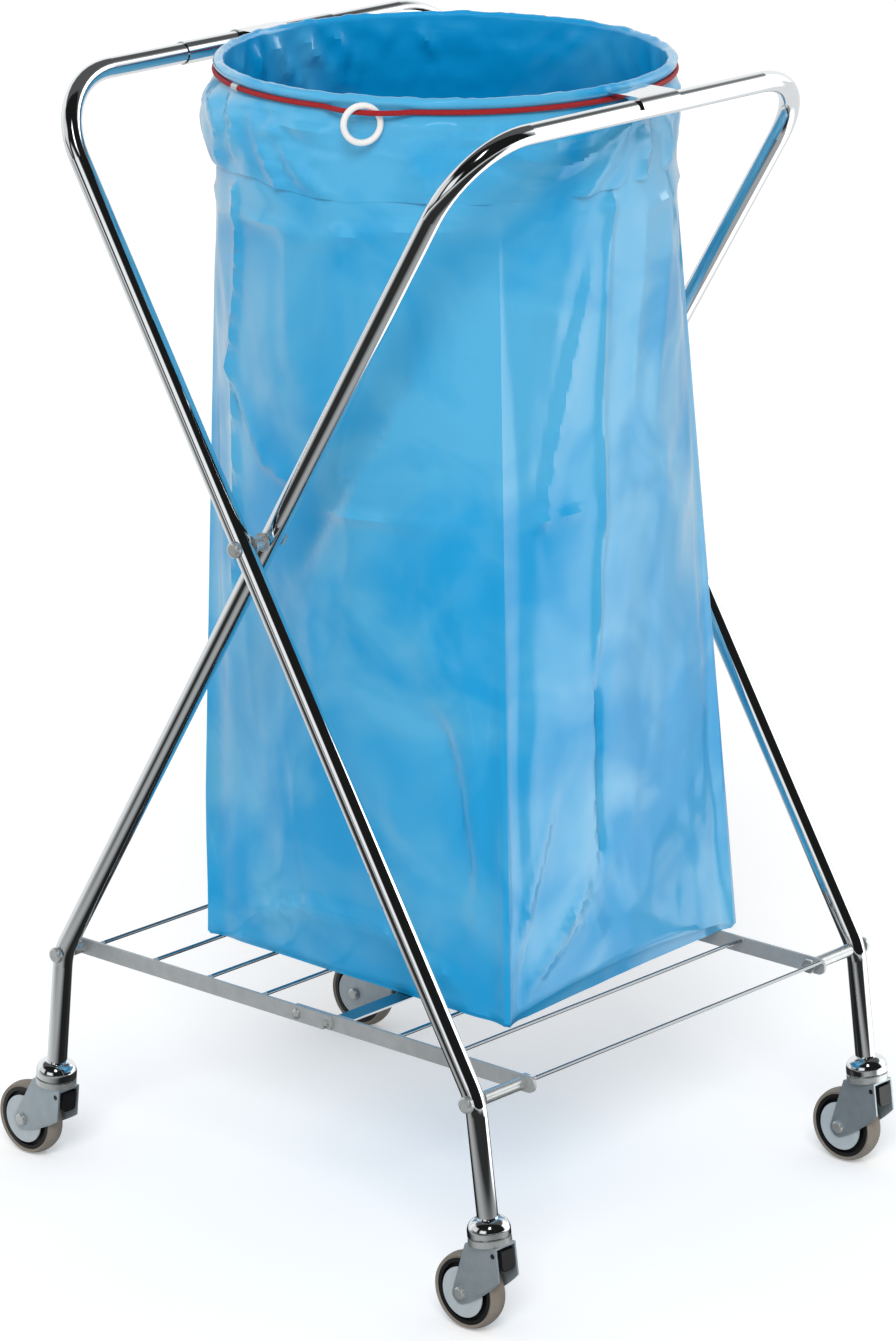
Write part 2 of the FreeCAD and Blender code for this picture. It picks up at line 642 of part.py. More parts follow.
def roundSection(place, radius, drop):
    """Round outline at a depth under a place, split where the folded edges of the sack run down."""
    edges = []
    for number, first in enumerate(cornerAngles):
        turn = (cornerAngles[(number + 1) % 4] - first) % (2 * math.pi)
        points = [place.multVec(Vector(radius * math.cos(first + turn * share),
                                       radius * math.sin(first + turn * share), -drop))
                  for share in (0, 0.5, 1)]
        edges.append(Part.Arc(*points).toShape())
    return Part.Wire(edges)


def footSection(inset, height):
    """Four-cornered outline of the foot, moved inwards by inset."""
    corners = [corner + Vector(0, 0, height) for corner in sackBase]
    wire = Part.makePolygon(corners + corners[:1])
    return wire.makeOffset2D(-inset, 2) if inset else wire


def sackSkin(inset):
    """Solid inside the film's outer or inner face: round under the hoop, four-cornered at the foot."""
    return Part.makeLoft([roundSection(inHoop, hoopRadius - filmInner - inset, 0),
                          roundSection(level, size("neckRadius") - inset, size("neckDrop")),
                          footSection(inset, floorZ + size("baseRound")),
                          footSection(inset + size("baseDrawIn"), floorZ + inset)], True, True)


hanging = sackSkin(0).cut(sackSkin(wall))


def around(centre, radius, angle):
    """Point of the cuff's section on a circle about a centre."""
    return centre + Vector(radius * math.cos(math.radians(angle)), 0, radius * math.sin(math.radians(angle)))


def cuffFace(rodGap, bandGap, bulge, hem):
    """Edges of one face of the turned-down film, from inside the hoop over it and down to the hem."""
    rod = Vector(hoopRadius, 0, 0)
    band = Vector(size("bandRadius"), 0, -size("bandDrop"))
    slope = math.degrees(math.atan2(band.z, band.x - rod.x))
    offRod = around(rod, rodGap, slope)
    onBand = around(band, bandGap, slope + 180)
    pinch = around(band, bandGap, 180)
    bulgePoint = Vector(bulge, 0, -size("cuffBulgeDrop"))
    hemPoint = Vector(hem, 0, -size("cuffDrop"))
    return [Part.Arc(around(rod, rodGap, 180), around(rod, rodGap, 90), offRod).toShape(),
            Part.LineSegment(offRod, onBand).toShape(),
            Part.Arc(onBand, around(band, bandGap, 180 + slope / 2), pinch).toShape(),
            Part.LineSegment(pinch, bulgePoint).toShape(), Part.LineSegment(bulgePoint, hemPoint).toShape()]


def cuffOutline():
    """Section of the turned-down film: fold over the rod, pinch under the band, bulge and hem."""
    bandGap = size("bandDiameter") / 2 + size("filmGap")
    outside = cuffFace(filmOuter, bandGap, size("cuffBulge"), size("cuffHem"))
    inside = cuffFace(filmInner, bandGap + wall, size("cuffBulge") - wall, size("cuffHem") - wall)
    ends = [Part.LineSegment(outside[-1].Vertexes[-1].Point, inside[-1].Vertexes[-1].Point).toShape(),
            Part.LineSegment(inside[0].Vertexes[0].Point, outside[0].Vertexes[0].Point).toShape()]
    return Part.Face(Part.Wire(Part.__sortEdges__(outside + inside + ends)))


cuff = cuffOutline().revolve(Vector(), Vector(0, 0, 1), 360)
cuff.Placement = inHoop
sack = hanging.fuse(cuff)
slitHeight = size("bracketWall") + 2 * size("slitGap")
slitLow = size("tubeDiameter") / 2 + size("bracketClearance") - size("slitGap")
for x, width, shift in ((0, size("hingeBracketWidth"), 0),
                        (span.Length - barReach, size("clipWidth"), size("clipShift"))):
    slit = Part.makeBox(barReach, width + 2 * size("slitGap"), slitHeight,
                        Vector(x, shift - width / 2 - size("slitGap"), slitLow))
    slit.Placement = mouth
    sack = sack.cut(slit)
feature("sack", sack)

crimpAlong = math.degrees(size("crimpLength") / bandRadius)
crimpRing = Part.makeTorus(bandRadius, size("bandDiameter") / 2 + size("crimpWall"), Vector(),
                           Vector(0, 0, 1), -180, 180, crimpAlong)
crimpRing = crimpRing.cut(Part.makeTorus(bandRadius, size("bandDiameter") / 2, Vector(),
                                         Vector(0, 0, 1), -180, 180, crimpAlong))
crimpRing.rotate(Vector(), Vector(0, 0, 1), size("crimpAngle") - crimpAlong / 2)
crimpRing.Placement = bandPlace.multiply(crimpRing.Placement)
feature("band_crimp", crimpRing.cut(sack))


# Casters, in a local frame: origin at the foot of the tube, Z up along the stem, wheel to -X

skirtFoot = minus("domeHeight + skirtHeight")
raceRun = skirtFoot + " - runningGap"
raceTop = skirtFoot + " - raceGap"
crown = raceTop + " - raceHeight"
crownInside = crown + " - sheetWall"
pinHeadTop = crownInside + " - runningGap"
pinFoot = pinHeadTop + " - kingpinHeadHeight"
stemRadius = "tubeDiameter / 2 - tubeWall - stemClearance"
kingpinBore = "kingpinDiameter / 2 + pinClearance"

headBody = newBody("CasterHead")
revolve(headBody, "CasterHeadTurned", "XZ_Plane", "Z_Axis", [
    ("kingpinDiameter / 2", "stemLength"), (stemRadius, "stemLength"), (stemRadius, "0"),
    ("collarDiameter / 2", "0"), ("headDiameter / 2", "0 - domeHeight", "domeRadius", -1),
    ("headDiameter / 2", skirtFoot), ("kingpinDiameter / 2", skirtFoot)])

kingpinBody = newBody("Kingpin")
revolve(kingpinBody, "KingpinTurned", "XZ_Plane", "Z_Axis", [
    ("0", "stemLength"), ("0", pinFoot), ("kingpinHead / 2", pinFoot), ("kingpinHead / 2", pinHeadTop),
    ("kingpinDiameter / 2", pinHeadTop), ("kingpinDiameter / 2", "stemLength")])

raceBody = newBody("SwivelRace")
revolve(raceBody, "SwivelRaceTurned", "XZ_Plane", "Z_Axis", [
    (kingpinBore, raceRun), (kingpinBore, crown), ("headDiameter / 2", crown),
    ("headDiameter / 2", raceTop), ("raceDiameter / 2", raceTop), ("raceDiameter / 2", raceRun)])

wingWidth = "forkWidth - 2 * forkJoggle"
forkBody = newBody("Fork")
pad(forkBody, "ForkWings", "XZ_Plane", [
    ("forkFront", crown), ("0 - forkCrownRear", crown),
    ("0 - trail - bossRadius", "0 - casterDrop"),
    ("0 - trail", "0 - casterDrop - bossRadius", "bossRadius", 1),
    ("forkFront", crown + " - forkFrontDrop", "forkBelly", 1)], wingWidth)
pad(forkBody, "ForkShoulders", "XZ_Plane", [
    ("forkFront", crown), ("0 - joggleSet", crown), ("0 - joggleSet", "0 - casterDrop"),
    ("0 - joggleSet / 3", "0 - casterDrop + joggleSet / 4"), ("forkFront", crown + " - forkFrontDrop")],
    "forkWidth")
doc.recompute()
farBack = "0 - trail - 3 * bossRadius"
farDown = "0 - casterDrop - 2 * bossRadius"
for name, back, width in (("ForkHollow", farBack, wingWidth + " - 2 * sheetWall"),
                          ("ShoulderHollow", "sheetWall - joggleSet", "forkWidth - 2 * sheetWall")):
    hollow = sketchOf(forkBody, name + "Outline", "XZ_Plane", [
        ("2 * forkFront", crownInside), (back, crownInside), (back, farDown), ("2 * forkFront", farDown)])
    hollowCut = forkBody.newObject("PartDesign::Pocket", name)
    hollowCut.Profile = hollow
    hollowCut.Midplane = True
    bind(hollowCut, "Length", width)
drill(forkBody, "AxleHole", "XZ_Plane", "0 - trail", "0 - casterDrop", "axleDiameter")
drill(forkBody, "PedalHole", "XZ_Plane", "pedalSet", "0 - pedalDrop", "trunnionDiameter + 2 * pinClearance")
drill(forkBody, "KingpinHole", "XY_Plane", "0", "0", "kingpinDiameter + 2 * pinClearance")

boltTop = "forkWidth / 2 - forkJoggle"
boltFoot = minus(boltTop) + " - axleHeadHeight - pinPastNut"
boltBody = newBody("AxleBolt")
revolve(boltBody, "AxleBoltTurned", "XZ_Plane", "Z_Axis", [
    ("0", boltFoot), ("axleDiameter / 2", boltFoot), ("axleDiameter / 2", boltTop),
    ("axleHead / 2", boltTop), ("axleHead / 2", boltTop + " + axleHeadHeight - axleHeadRound"),
    ("axleHead / 2 - axleHeadRound", boltTop + " + axleHeadHeight", "axleHeadRound", 1),
    ("0", boltTop + " + axleHeadHeight")])
axleNut = hexNut("AxleNut", "axleHead", "axleHeadHeight", "axleDiameter / 2")

guardBody = ringPiece("Guard", "guardDiameter / 2", "axleDiameter / 2 + pinClearance", "guardThickness")

hubEnd = "forkWidth / 2 - forkJoggle - sheetWall - seatGap - guardThickness - runningGap"
hubBore = "axleDiameter / 2 + pinClearance"
rimInside = "coreDiameter / 2 - coreRim"
coreBody = newBody("WheelCentre")
revolve(coreBody, "WheelCentreTurned", "XZ_Plane", "Z_Axis", [
    (hubBore, minus(hubEnd)), ("hubDiameter / 2", minus(hubEnd)), ("hubDiameter / 2", "0 - coreWeb / 2"),
    (rimInside, "0 - coreWeb / 2"), (rimInside, "0 - coreWidth / 2"),
    ("coreDiameter / 2", "0 - coreWidth / 2"), ("coreDiameter / 2", "coreWidth / 2"),
    (rimInside, "coreWidth / 2"), (rimInside, "coreWeb / 2"), ("hubDiameter / 2", "coreWeb / 2"),
    ("hubDiameter / 2", hubEnd), (hubBore, hubEnd)])

treadSide = "wheelDiameter / 2 - treadEdge"
tyreBody = newBody("Tyre")
revolve(tyreBody, "TyreTurned", "XZ_Plane", "Z_Axis", [
    ("coreDiameter / 2", "0 - coreWidth / 2"), (treadSide, "0 - wheelWidth / 2"),
    ("wheelDiameter / 2", "0", "treadCrown", 1), (treadSide, "wheelWidth / 2", "treadCrown", 1),
    ("coreDiameter / 2", "coreWidth / 2")])

tabFront = "forkFront + pedalReach"
tabBack = tabFront + " - pedalThickness"
tabFoot = "pedalThickness / 2 - pedalDrop - pedalLength"
barrelTop = "pedalBarrel / 2 - pedalDrop"
pedalBody = newBody("Pedal")
pad(pedalBody, "PedalTab", "XZ_Plane", [
    ("pedalSet", minus("pedalDrop + pedalBarrel / 2"), "pedalBarrel / 2", 1),
    (tabBack, minus("pedalDrop + pedalBarrel / 2")), (tabBack, tabFoot),
    (tabBack + " + pedalThickness / 2", tabFoot + " - pedalThickness / 2", "pedalThickness / 2", 1),
    (tabFront, tabFoot, "pedalThickness / 2", 1), (tabFront, barrelTop), ("pedalSet", barrelTop),
    ("pedalSet - pedalBarrel / 2", "0 - pedalDrop", "pedalBarrel / 2", 1)], "pedalWidth")
trunnion = circleSketch(pedalBody, "TrunnionCircle", "XZ_Plane", "pedalSet", "0 - pedalDrop",
                        "trunnionDiameter")
trunnionPad = pedalBody.newObject("PartDesign::Pad", "Trunnion")
trunnionPad.Profile = trunnion
trunnionPad.Midplane = True
bind(trunnionPad, "Length", "forkWidth")
tabEnd = tabFoot + " - pedalThickness / 2"
for name, sign in (("Near", "0 - "), ("Far", "")):
    turned = name == "Near"
    corner = [(sign + "pedalWidth / 2", tabEnd + " + pedalRound"),
              (sign + "pedalWidth", tabEnd + " + pedalRound"), (sign + "pedalWidth", tabEnd + " - pedalRound"),
              (minus("pedalWidth / 2 - pedalRound") if turned else "pedalWidth / 2 - pedalRound",
               tabEnd + " - pedalRound"),
              (minus("pedalWidth / 2 - pedalRound") if turned else "pedalWidth / 2 - pedalRound", tabEnd)]
    side = 1 if turned else -1
    corner[0] = corner[0] + ("pedalRound", -side)
    outline = sketchOf(pedalBody, name + "CornerOutline", "YZ_Plane", corner)
    cornerCut = pedalBody.newObject("PartDesign::Pocket", name + "Corner")
    cornerCut.Profile = outline
    cornerCut.Type = "ThroughAll"
    cornerCut.Midplane = True
doc.recompute()


def casterPlace(way, side):
    """Foot of a leg, turned with its shin. Way 1 is the outer frame, side -1 the near side."""
    foot = sideLine(way)[0]
    width = size("outerWidth") if way > 0 else innerWidth
    return Placement(Vector(foot[0], side * width / 2, foot[1]),
                     Rotation(Vector(0, 1, 0), -way * size("shinLean")))


axleTurn = Rotation(Vector(0, 0, 1), Vector(0, -1, 0))
axlePlace = Placement(Vector(-size("trail"), 0, -size("casterDrop")), axleTurn)
guardSeat = amount("forkWidth / 2 - forkJoggle - sheetWall - seatGap - guardThickness")
casters = (("front", 1, -1), ("right", 1, 1), ("left", -1, -1), ("back", -1, 1))
for corner, way, side in casters:
    place = casterPlace(way, side)
    axle = place.multiply(axlePlace)
    copies(corner + "_caster_head", headBody, [place])
    copies(corner + "_swivel_race", raceBody, [place])
    copies(corner + "_fork", forkBody, [place])
    copies(corner + "_wheel_centre", coreBody, [axle])
    copies(corner + "_tyre", tyreBody, [axle])
    copies(corner + "_brake_tab", pedalBody, [place])
    guards = [axle.multiply(Placement(Vector(0, 0, guardSeat), Rotation())),
              axle.multiply(Placement(Vector(0, 0, -guardSeat), Rotation(Vector(1, 0, 0), 180)))]
    copies(corner + "_thread_guards", guardBody, guards)
    bolt = boltBody.Shape.copy()
    lock = axleNut.Shape.copy()
    lock.translate(Vector(0, 0, -amount(boltTop) - size("axleHeadHeight")))
    feature(corner + "_axle", Part.makeCompound([bolt, lock]), axle)
for name, way in (("outer_kingpins", 1), ("inner_kingpins", -1)):
    copies(name, kingpinBody, [casterPlace(way, side) for side in nearAndFar])

doc.recompute()
for item in doc.Objects:
    if "Invalid" in item.State or "Error" in item.State:
        raise RuntimeError("%s failed: %s" % (item.Name, item.State))
for item in subParts:
    if item.Shape.isNull() or not item.Shape.isValid():
        raise RuntimeError("%s has no valid shape" % item.Label)

os.makedirs("parts", exist_ok=True)
for item in subParts:
    item.Shape.exportStep("parts/%s.step" % item.Label)
    print("%-24s solids %2d  volume %10.0f" % (item.Label, len(item.Shape.Solids), item.Shape.Volume))
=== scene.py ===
# Folding sack holder on casters: its finishes, its film sack and the studio round it. Metres throughout.
import math

import bpy
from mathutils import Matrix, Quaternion, Vector, noise


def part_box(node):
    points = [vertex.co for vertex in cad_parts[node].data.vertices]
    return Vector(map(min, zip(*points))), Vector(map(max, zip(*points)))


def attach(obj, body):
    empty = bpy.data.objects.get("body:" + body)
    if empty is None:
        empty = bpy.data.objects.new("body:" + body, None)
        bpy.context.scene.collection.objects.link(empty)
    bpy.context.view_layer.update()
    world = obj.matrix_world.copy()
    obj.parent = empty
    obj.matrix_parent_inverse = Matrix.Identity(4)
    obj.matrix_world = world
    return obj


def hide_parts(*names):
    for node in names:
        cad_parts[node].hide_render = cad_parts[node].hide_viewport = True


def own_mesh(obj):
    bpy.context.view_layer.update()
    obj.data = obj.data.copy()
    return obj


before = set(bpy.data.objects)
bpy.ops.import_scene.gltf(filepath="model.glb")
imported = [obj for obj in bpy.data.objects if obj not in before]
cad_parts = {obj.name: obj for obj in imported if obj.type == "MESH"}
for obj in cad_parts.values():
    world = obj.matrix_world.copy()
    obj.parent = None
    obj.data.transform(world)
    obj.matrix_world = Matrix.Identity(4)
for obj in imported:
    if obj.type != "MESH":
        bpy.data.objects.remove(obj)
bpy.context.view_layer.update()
mm = 0.001


# Camera: the photograph's own view, with the image taken as 896 x 1341

viewpoint = {
    "place": (3.5205, -3.8006, 2.0751),
    "azimuth": 42.82,  # degrees round the stand, 0 looks along +Y
    "elevation": 16.73,
    "roll": -0.67,
    "lens": 150.0,  # mm
    "sensor": 36,  # mm, the long side of the image
    "farthest": 200,  # metres, past the edge of the floor
}


def addCamera():
    turn = math.radians(viewpoint["azimuth"])
    rise = math.radians(viewpoint["elevation"])
    ahead = Vector((-math.sin(turn) * math.cos(rise), math.cos(turn) * math.cos(rise), -math.sin(rise)))
    bpy.ops.object.camera_add(location=viewpoint["place"])
    camera = bpy.context.object
    roll = Quaternion((0, 0, 1), math.radians(viewpoint["roll"]))
    camera.rotation_mode = "QUATERNION"
    camera.rotation_quaternion = ahead.to_track_quat("-Z", "Y") @ roll
    camera.data.lens = viewpoint["lens"]
    camera.data.sensor_width = viewpoint["sensor"]
    camera.data.clip_end = viewpoint["farthest"]
    bpy.context.scene.camera = camera


bpy.ops.object.select_all(action="DESELECT")
addCamera()
bpy.context.scene.view_settings.view_transform = "Standard"
print("camera placed")


# Materials: helpers

def linear(hexColour):
    parts = [int(hexColour[i:i + 2], 16) / 255 for i in (1, 3, 5)]
    return tuple(p / 12.92 if p <= 0.04045 else ((p + 0.055) / 1.055) ** 2.4 for p in parts) + (1.0,)


def addNode(tree, kind, settings=None, links=None):
    node = tree.nodes.new("ShaderNode" + kind)
    for name, value in (settings or {}).items():
        if isinstance(name, int) or name in node.inputs:
            node.inputs[name].default_value = value
        else:
            setattr(node, name, value)
    for name, source in (links or {}).items():
        tree.links.new(source, node.inputs[name])
    return node


def newMaterial(name, settings):
    material = bpy.data.materials.new(name)
    material.use_nodes = True
    tree = material.node_tree
    shader = tree.nodes["Principled BSDF"]
    for socket, value in settings.items():
        shader.inputs[socket].default_value = value
    place = addNode(tree, "TexCoord").outputs["Object"]
    return material, tree, shader, place


def perMetre(millimetres):  # a noise scale that gives features of this size
    return 1000 / millimetres


def chromePlatedTube(name="chromePlatedTube", polish=0.035, haze=0.05):
    # bright chrome on drawn steel: mirror with a faint haze left by the polishing mop, in marks of 14 mm
    material, tree, shader, place = newMaterial(name, {"Base Color": linear("#e6eaec"), "Metallic": 1.0})
    mop = addNode(tree, "TexNoise", {"Scale": perMetre(14), "Detail": 3}, {"Vector": place})
    rough = addNode(tree, "MapRange", {
        "From Min": 0.35, "From Max": 0.7, "To Min": polish, "To Max": polish + haze,
    }, {"Value": mop.outputs["Fac"]})
    tree.links.new(rough.outputs[0], shader.inputs["Roughness"])
    return material


def zincPlatedPressing(name="zincPlatedPressing", pale="#c3cdd2", dark="#9fb0ba", rough=0.34, metal=0.7):
    # blue-passivated zinc on pressed steel: satin grey-blue, in clouds of 11 mm, with a rolled grain of
    # 0.8 mm, coarser than the real one so that it shows
    material, tree, shader, place = newMaterial(name, {"Metallic": metal})
    cloud = addNode(tree, "TexNoise", {"Scale": perMetre(11), "Detail": 4, "Roughness": 0.6},
                    {"Vector": place})
    mix = addNode(tree, "Mix", {"data_type": "RGBA", 6: linear(dark), 7: linear(pale)},
                  {0: cloud.outputs["Fac"]})
    tree.links.new(mix.outputs[2], shader.inputs["Base Color"])
    spread = addNode(tree, "MapRange", {"To Min": rough, "To Max": rough + 0.14},
                     {"Value": cloud.outputs["Fac"]})
    tree.links.new(spread.outputs[0], shader.inputs["Roughness"])
    grain = addNode(tree, "TexNoise", {"Scale": perMetre(0.8), "Detail": 2}, {"Vector": place})
    bump = addNode(tree, "Bump", {"Strength": 0.08, "Distance": 0.1 * mm}, {"Height": grain.outputs["Fac"]})
    tree.links.new(bump.outputs[0], shader.inputs["Normal"])
    return material


def plastic(name, pale, dark, rough, grainSize, bumpDepth, settings=None):
    # moulded plastic or rubber: one colour with slow mottling of 9 mm and the mould's fine grain, sizes in mm
    material, tree, shader, place = newMaterial(name, settings or {})
    cloud = addNode(tree, "TexNoise", {"Scale": perMetre(9), "Detail": 3}, {"Vector": place})
    mix = addNode(tree, "Mix", {"data_type": "RGBA", 6: linear(dark), 7: linear(pale)},
                  {0: cloud.outputs["Fac"]})
    tree.links.new(mix.outputs[2], shader.inputs["Base Color"])
    spread = addNode(tree, "MapRange", {"To Min": rough - 0.06, "To Max": rough + 0.06},
                     {"Value": cloud.outputs["Fac"]})
    tree.links.new(spread.outputs[0], shader.inputs["Roughness"])
    grain = addNode(tree, "TexNoise", {"Scale": perMetre(grainSize), "Detail": 2}, {"Vector": place})
    bump = addNode(tree, "Bump", {"Strength": 0.25, "Distance": bumpDepth * mm},
                   {"Height": grain.outputs["Fac"]})
    tree.links.new(bump.outputs[0], shader.inputs["Normal"])
    return material


def ldpeFilm():
    # blown low-density polyethylene, tinted blue, with painted sheen in its colour: paler toward the mouth on
    # the outside and in clouds of 150 mm, deep blue low down and, as painted shade, deeper still inside the
    # mouth; with a gloss that comes and goes, wrinkles of 55 mm that run up and down, and puckers of 26 mm
    # across them
    material, tree, shader, place = newMaterial("ldpeFilm", {
        "IOR": 1.51, "Coat Roughness": 0.13, "Coat IOR": 1.5})
    cloud = addNode(tree, "TexNoise", {"Scale": perMetre(150), "Detail": 3, "Distortion": 0.8},
                    {"Vector": place})
    parts = addNode(tree, "SeparateXYZ", {}, {0: place})
    high = addNode(tree, "MapRange", {"From Min": 0.5, "From Max": 0.95, "To Max": 0.12},
                   {"Value": parts.outputs[2]})  # metres over the floor
    level = addNode(tree, "VectorMath", {"operation": "MULTIPLY", 1: (1, 1, 0)}, {0: place})
    surface = addNode(tree, "NewGeometry")
    outward = addNode(tree, "VectorMath", {"operation": "DOT_PRODUCT"},
                      {0: level.outputs[0], 1: surface.outputs["Normal"]})
    outside = addNode(tree, "MapRange", {
        "From Min": -0.02, "From Max": 0.04, "To Min": -0.25, "To Max": 1.0,
    }, {"Value": outward.outputs["Value"]})  # painted shade: the inside is kept a deeper blue
    # painted sheen: the outside turns paler higher up, toward the mouth, and the inside turns deeper blue as
    # painted shade
    paintedSheenAtMouth = addNode(tree, "Math", {"operation": "MULTIPLY"}, {0: high.outputs[0], 1: outside.outputs[0]})
    patch = addNode(tree, "Math", {"operation": "ADD"}, {0: cloud.outputs["Fac"], 1: paintedSheenAtMouth.outputs[0]})
    paintedSheenShare = addNode(tree, "MapRange", {"From Min": 0.43, "From Max": 0.66}, {"Value": patch.outputs[0]})
    # painted sheen: deep blue to pale in clouds of 150 mm and toward the mouth, where reflections of the
    # white walls would be
    mix = addNode(tree, "Mix", {"data_type": "RGBA", 6: linear("#009fdc"), 7: linear("#4fb5e4")},
                  {0: paintedSheenShare.outputs[0]})
    tree.links.new(mix.outputs[2], shader.inputs["Base Color"])
    sheen = addNode(tree, "MapRange", {"To Min": 0.3, "To Max": 0.45}, {"Value": cloud.outputs["Fac"]})
    tree.links.new(sheen.outputs[0], shader.inputs["Roughness"])
    gloss = addNode(tree, "MapRange", {"From Min": 0.4, "From Max": 0.6, "To Min": 0.25},
                    {"Value": cloud.outputs["Fac"]})
    tree.links.new(gloss.outputs[0], shader.inputs["Coat Weight"])
    tall = addNode(tree, "Mapping", {"Scale": (1, 1, 0.3)}, {"Vector": place})
    wrinkle = addNode(tree, "TexNoise", {
        "noise_type": "RIDGED_MULTIFRACTAL", "Scale": perMetre(55), "Detail": 3, "Distortion": 0.5,
    }, {"Vector": tall.outputs[0]})
    low = addNode(tree, "Mapping", {"Scale": (0.4, 0.4, 1.7)}, {"Vector": place})
    pucker = addNode(tree, "TexNoise", {
        "noise_type": "RIDGED_MULTIFRACTAL", "Scale": perMetre(26), "Detail": 2, "Distortion": 0.3,
    }, {"Vector": low.outputs[0]})
    region = addNode(tree, "TexNoise", {"Scale": perMetre(110), "Detail": 1}, {"Vector": place})
    loose = addNode(tree, "MapRange", {"From Min": 0.5, "From Max": 0.64, "To Max": 0.35},
                    {"Value": region.outputs["Fac"]})  # puckered only here and there
    both = addNode(tree, "Math", {"operation": "MULTIPLY_ADD"},
                   {0: pucker.outputs["Fac"], 1: loose.outputs[0], 2: wrinkle.outputs["Fac"]})
    bump = addNode(tree, "Bump", {"Strength": 0.8, "Distance": 2.2 * mm}, {"Height": both.outputs[0]})
    tree.links.new(bump.outputs[0], shader.inputs["Normal"])
    tree.links.new(bump.outputs[0], shader.inputs["Coat Normal"])
    return material


def wovenElastic():
    # red rubber core in a braided textile sleeve: matt, with ribs across the cord and painted shade in the
    # grooves between them
    cordRadius, ribPitch = 216.3, 1.6  # mm, of the whole ring and from one rib to the next
    material, tree, shader, place = newMaterial("wovenElastic", {"Roughness": 0.6})
    parts = addNode(tree, "SeparateXYZ", {}, {0: place})
    angle = addNode(tree, "Math", {"operation": "ARCTAN2"}, {0: parts.outputs[1], 1: parts.outputs[0]})
    ribs = addNode(tree, "Math", {"operation": "MULTIPLY", 1: cordRadius / ribPitch * 2 * math.pi},
                   {0: angle.outputs[0]})
    wave = addNode(tree, "Math", {"operation": "SINE"}, {0: ribs.outputs[0]})
    # painted shade: darker red in the grooves between the ribs, paler on their crests
    mix = addNode(tree, "Mix", {"data_type": "RGBA", 6: linear("#9c1216"), 7: linear("#c41c22")},
                  {0: wave.outputs[0]})
    tree.links.new(mix.outputs[2], shader.inputs["Base Color"])
    bump = addNode(tree, "Bump", {"Strength": 0.5, "Distance": 0.3 * mm}, {"Height": wave.outputs[0]})
    tree.links.new(bump.outputs[0], shader.inputs["Normal"])
    return material


chrome = chromePlatedTube()
chromeWire = chromePlatedTube("chromePlatedWire", 0.09, 0.08)
polishedDome = chromePlatedTube("polishedChromePressing", 0.06, 0.06)
zincFork = zincPlatedPressing()
zincBolt = zincPlatedPressing("brightZincFastener", "#d9dcda", "#b9bebf", 0.2, 0.7)
film = ldpeFilm()
elastic = wovenElastic()
ringWhite = plastic("polypropyleneRing", "#f8f8f6", "#ecebe8", 0.35, 0.9, 0.05)
tyreGrey = plastic("greyThermoplasticRubber", "#8f877c", "#7a7268", 0.6, 0.6, 0.12)
coreBlack = plastic("blackPolyamide", "#1c1d1f", "#121314", 0.42, 0.7, 0.06)
guardGrey = plastic("greyPolypropylene", "#b7c0c4", "#a3adb2", 0.45, 0.7, 0.05)


# Finishes of the carried-over pieces

wireSpan = 208.5 * mm  # the wires end here, where the flat rails begin


def shelfSteel():
    # zinc on one welded piece: matt cloudy flat rails and bright drawn wires, whose darker grey is partly the
    # zinc's own and partly painted reflection of the dark room
    material, tree, shader, place = newMaterial("zincPlatedShelf", {"Metallic": 1.0})
    parts = addNode(tree, "SeparateXYZ", {}, {0: place})
    side = addNode(tree, "Math", {"operation": "ABSOLUTE"}, {0: parts.outputs[1]})
    rail = addNode(tree, "Math", {"operation": "GREATER_THAN", 1: wireSpan}, {0: side.outputs[0]})
    cloud = addNode(tree, "TexNoise", {"Scale": perMetre(12), "Detail": 4}, {"Vector": place})
    flat = addNode(tree, "Mix", {"data_type": "RGBA", 6: linear("#b3b8ba"), 7: linear("#d0d4d5")},
                   {0: cloud.outputs["Fac"]})
    # the wires' grey: partly the zinc's own, partly painted reflection of the dark surroundings they mirror
    colour = addNode(tree, "Mix", {"data_type": "RGBA", 6: linear("#9ba1a5")},
                     {0: rail.outputs[0], 7: flat.outputs[2]})
    tree.links.new(colour.outputs[2], shader.inputs["Base Color"])
    rough = addNode(tree, "MapRange", {"To Min": 0.1, "To Max": 0.5}, {"Value": rail.outputs[0]})
    tree.links.new(rough.outputs[0], shader.inputs["Roughness"])
    dull = addNode(tree, "MapRange", {"To Min": 1.0, "To Max": 0.55}, {"Value": rail.outputs[0]})
    tree.links.new(dull.outputs[0], shader.inputs["Metallic"])
    return material


shelfZinc = shelfSteel()
# By the end of a node's name: its material and its slot
finishes = {
    "tube": (chrome, "chrome_tube"),
    "pull_ring": (ringWhite, "ring_white"),
    "tyre": (tyreGrey, "tyre_grey"),
    "wheel_centre": (coreBlack, "core_black"),
    "brake_tab": (coreBlack, "core_black"),
    "thread_guards": (guardGrey, "guard_grey"),
    "caster_head": (polishedDome, "head_chrome"),
    "swivel_race": (zincBolt, "zinc_steel"),
    "fork": (zincFork, "zinc_steel"),
    "shelf_front": (shelfZinc, "zinc_steel"),
    "shelf_rear": (shelfZinc, "zinc_steel"),
    "elastic_band": (elastic, "elastic_red"),
    "hoop": (chromeWire, "chrome_wire"),
    "hinge_bracket": (chrome, "chrome_tube"),
    "bar_clip": (chrome, "chrome_tube"),
    "bar_sleeves": (chrome, "chrome_tube"),
    "sack": (film, "sack_film"),
}
fastenerFinish = (zincBolt, "bright_fasteners")
for name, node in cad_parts.items():
    material, slot = next((finishes[key] for key in finishes if name.endswith(key)), fastenerFinish)
    for number in range(max(1, len(node.data.materials))):
        if number < len(node.data.materials):
            node.material_slots[number].material = material
        else:
            node.data.materials.append(material)
print("carried-over pieces finished")


# Sack: blown film hung inside the hoop, turned down over it and held by the elastic band

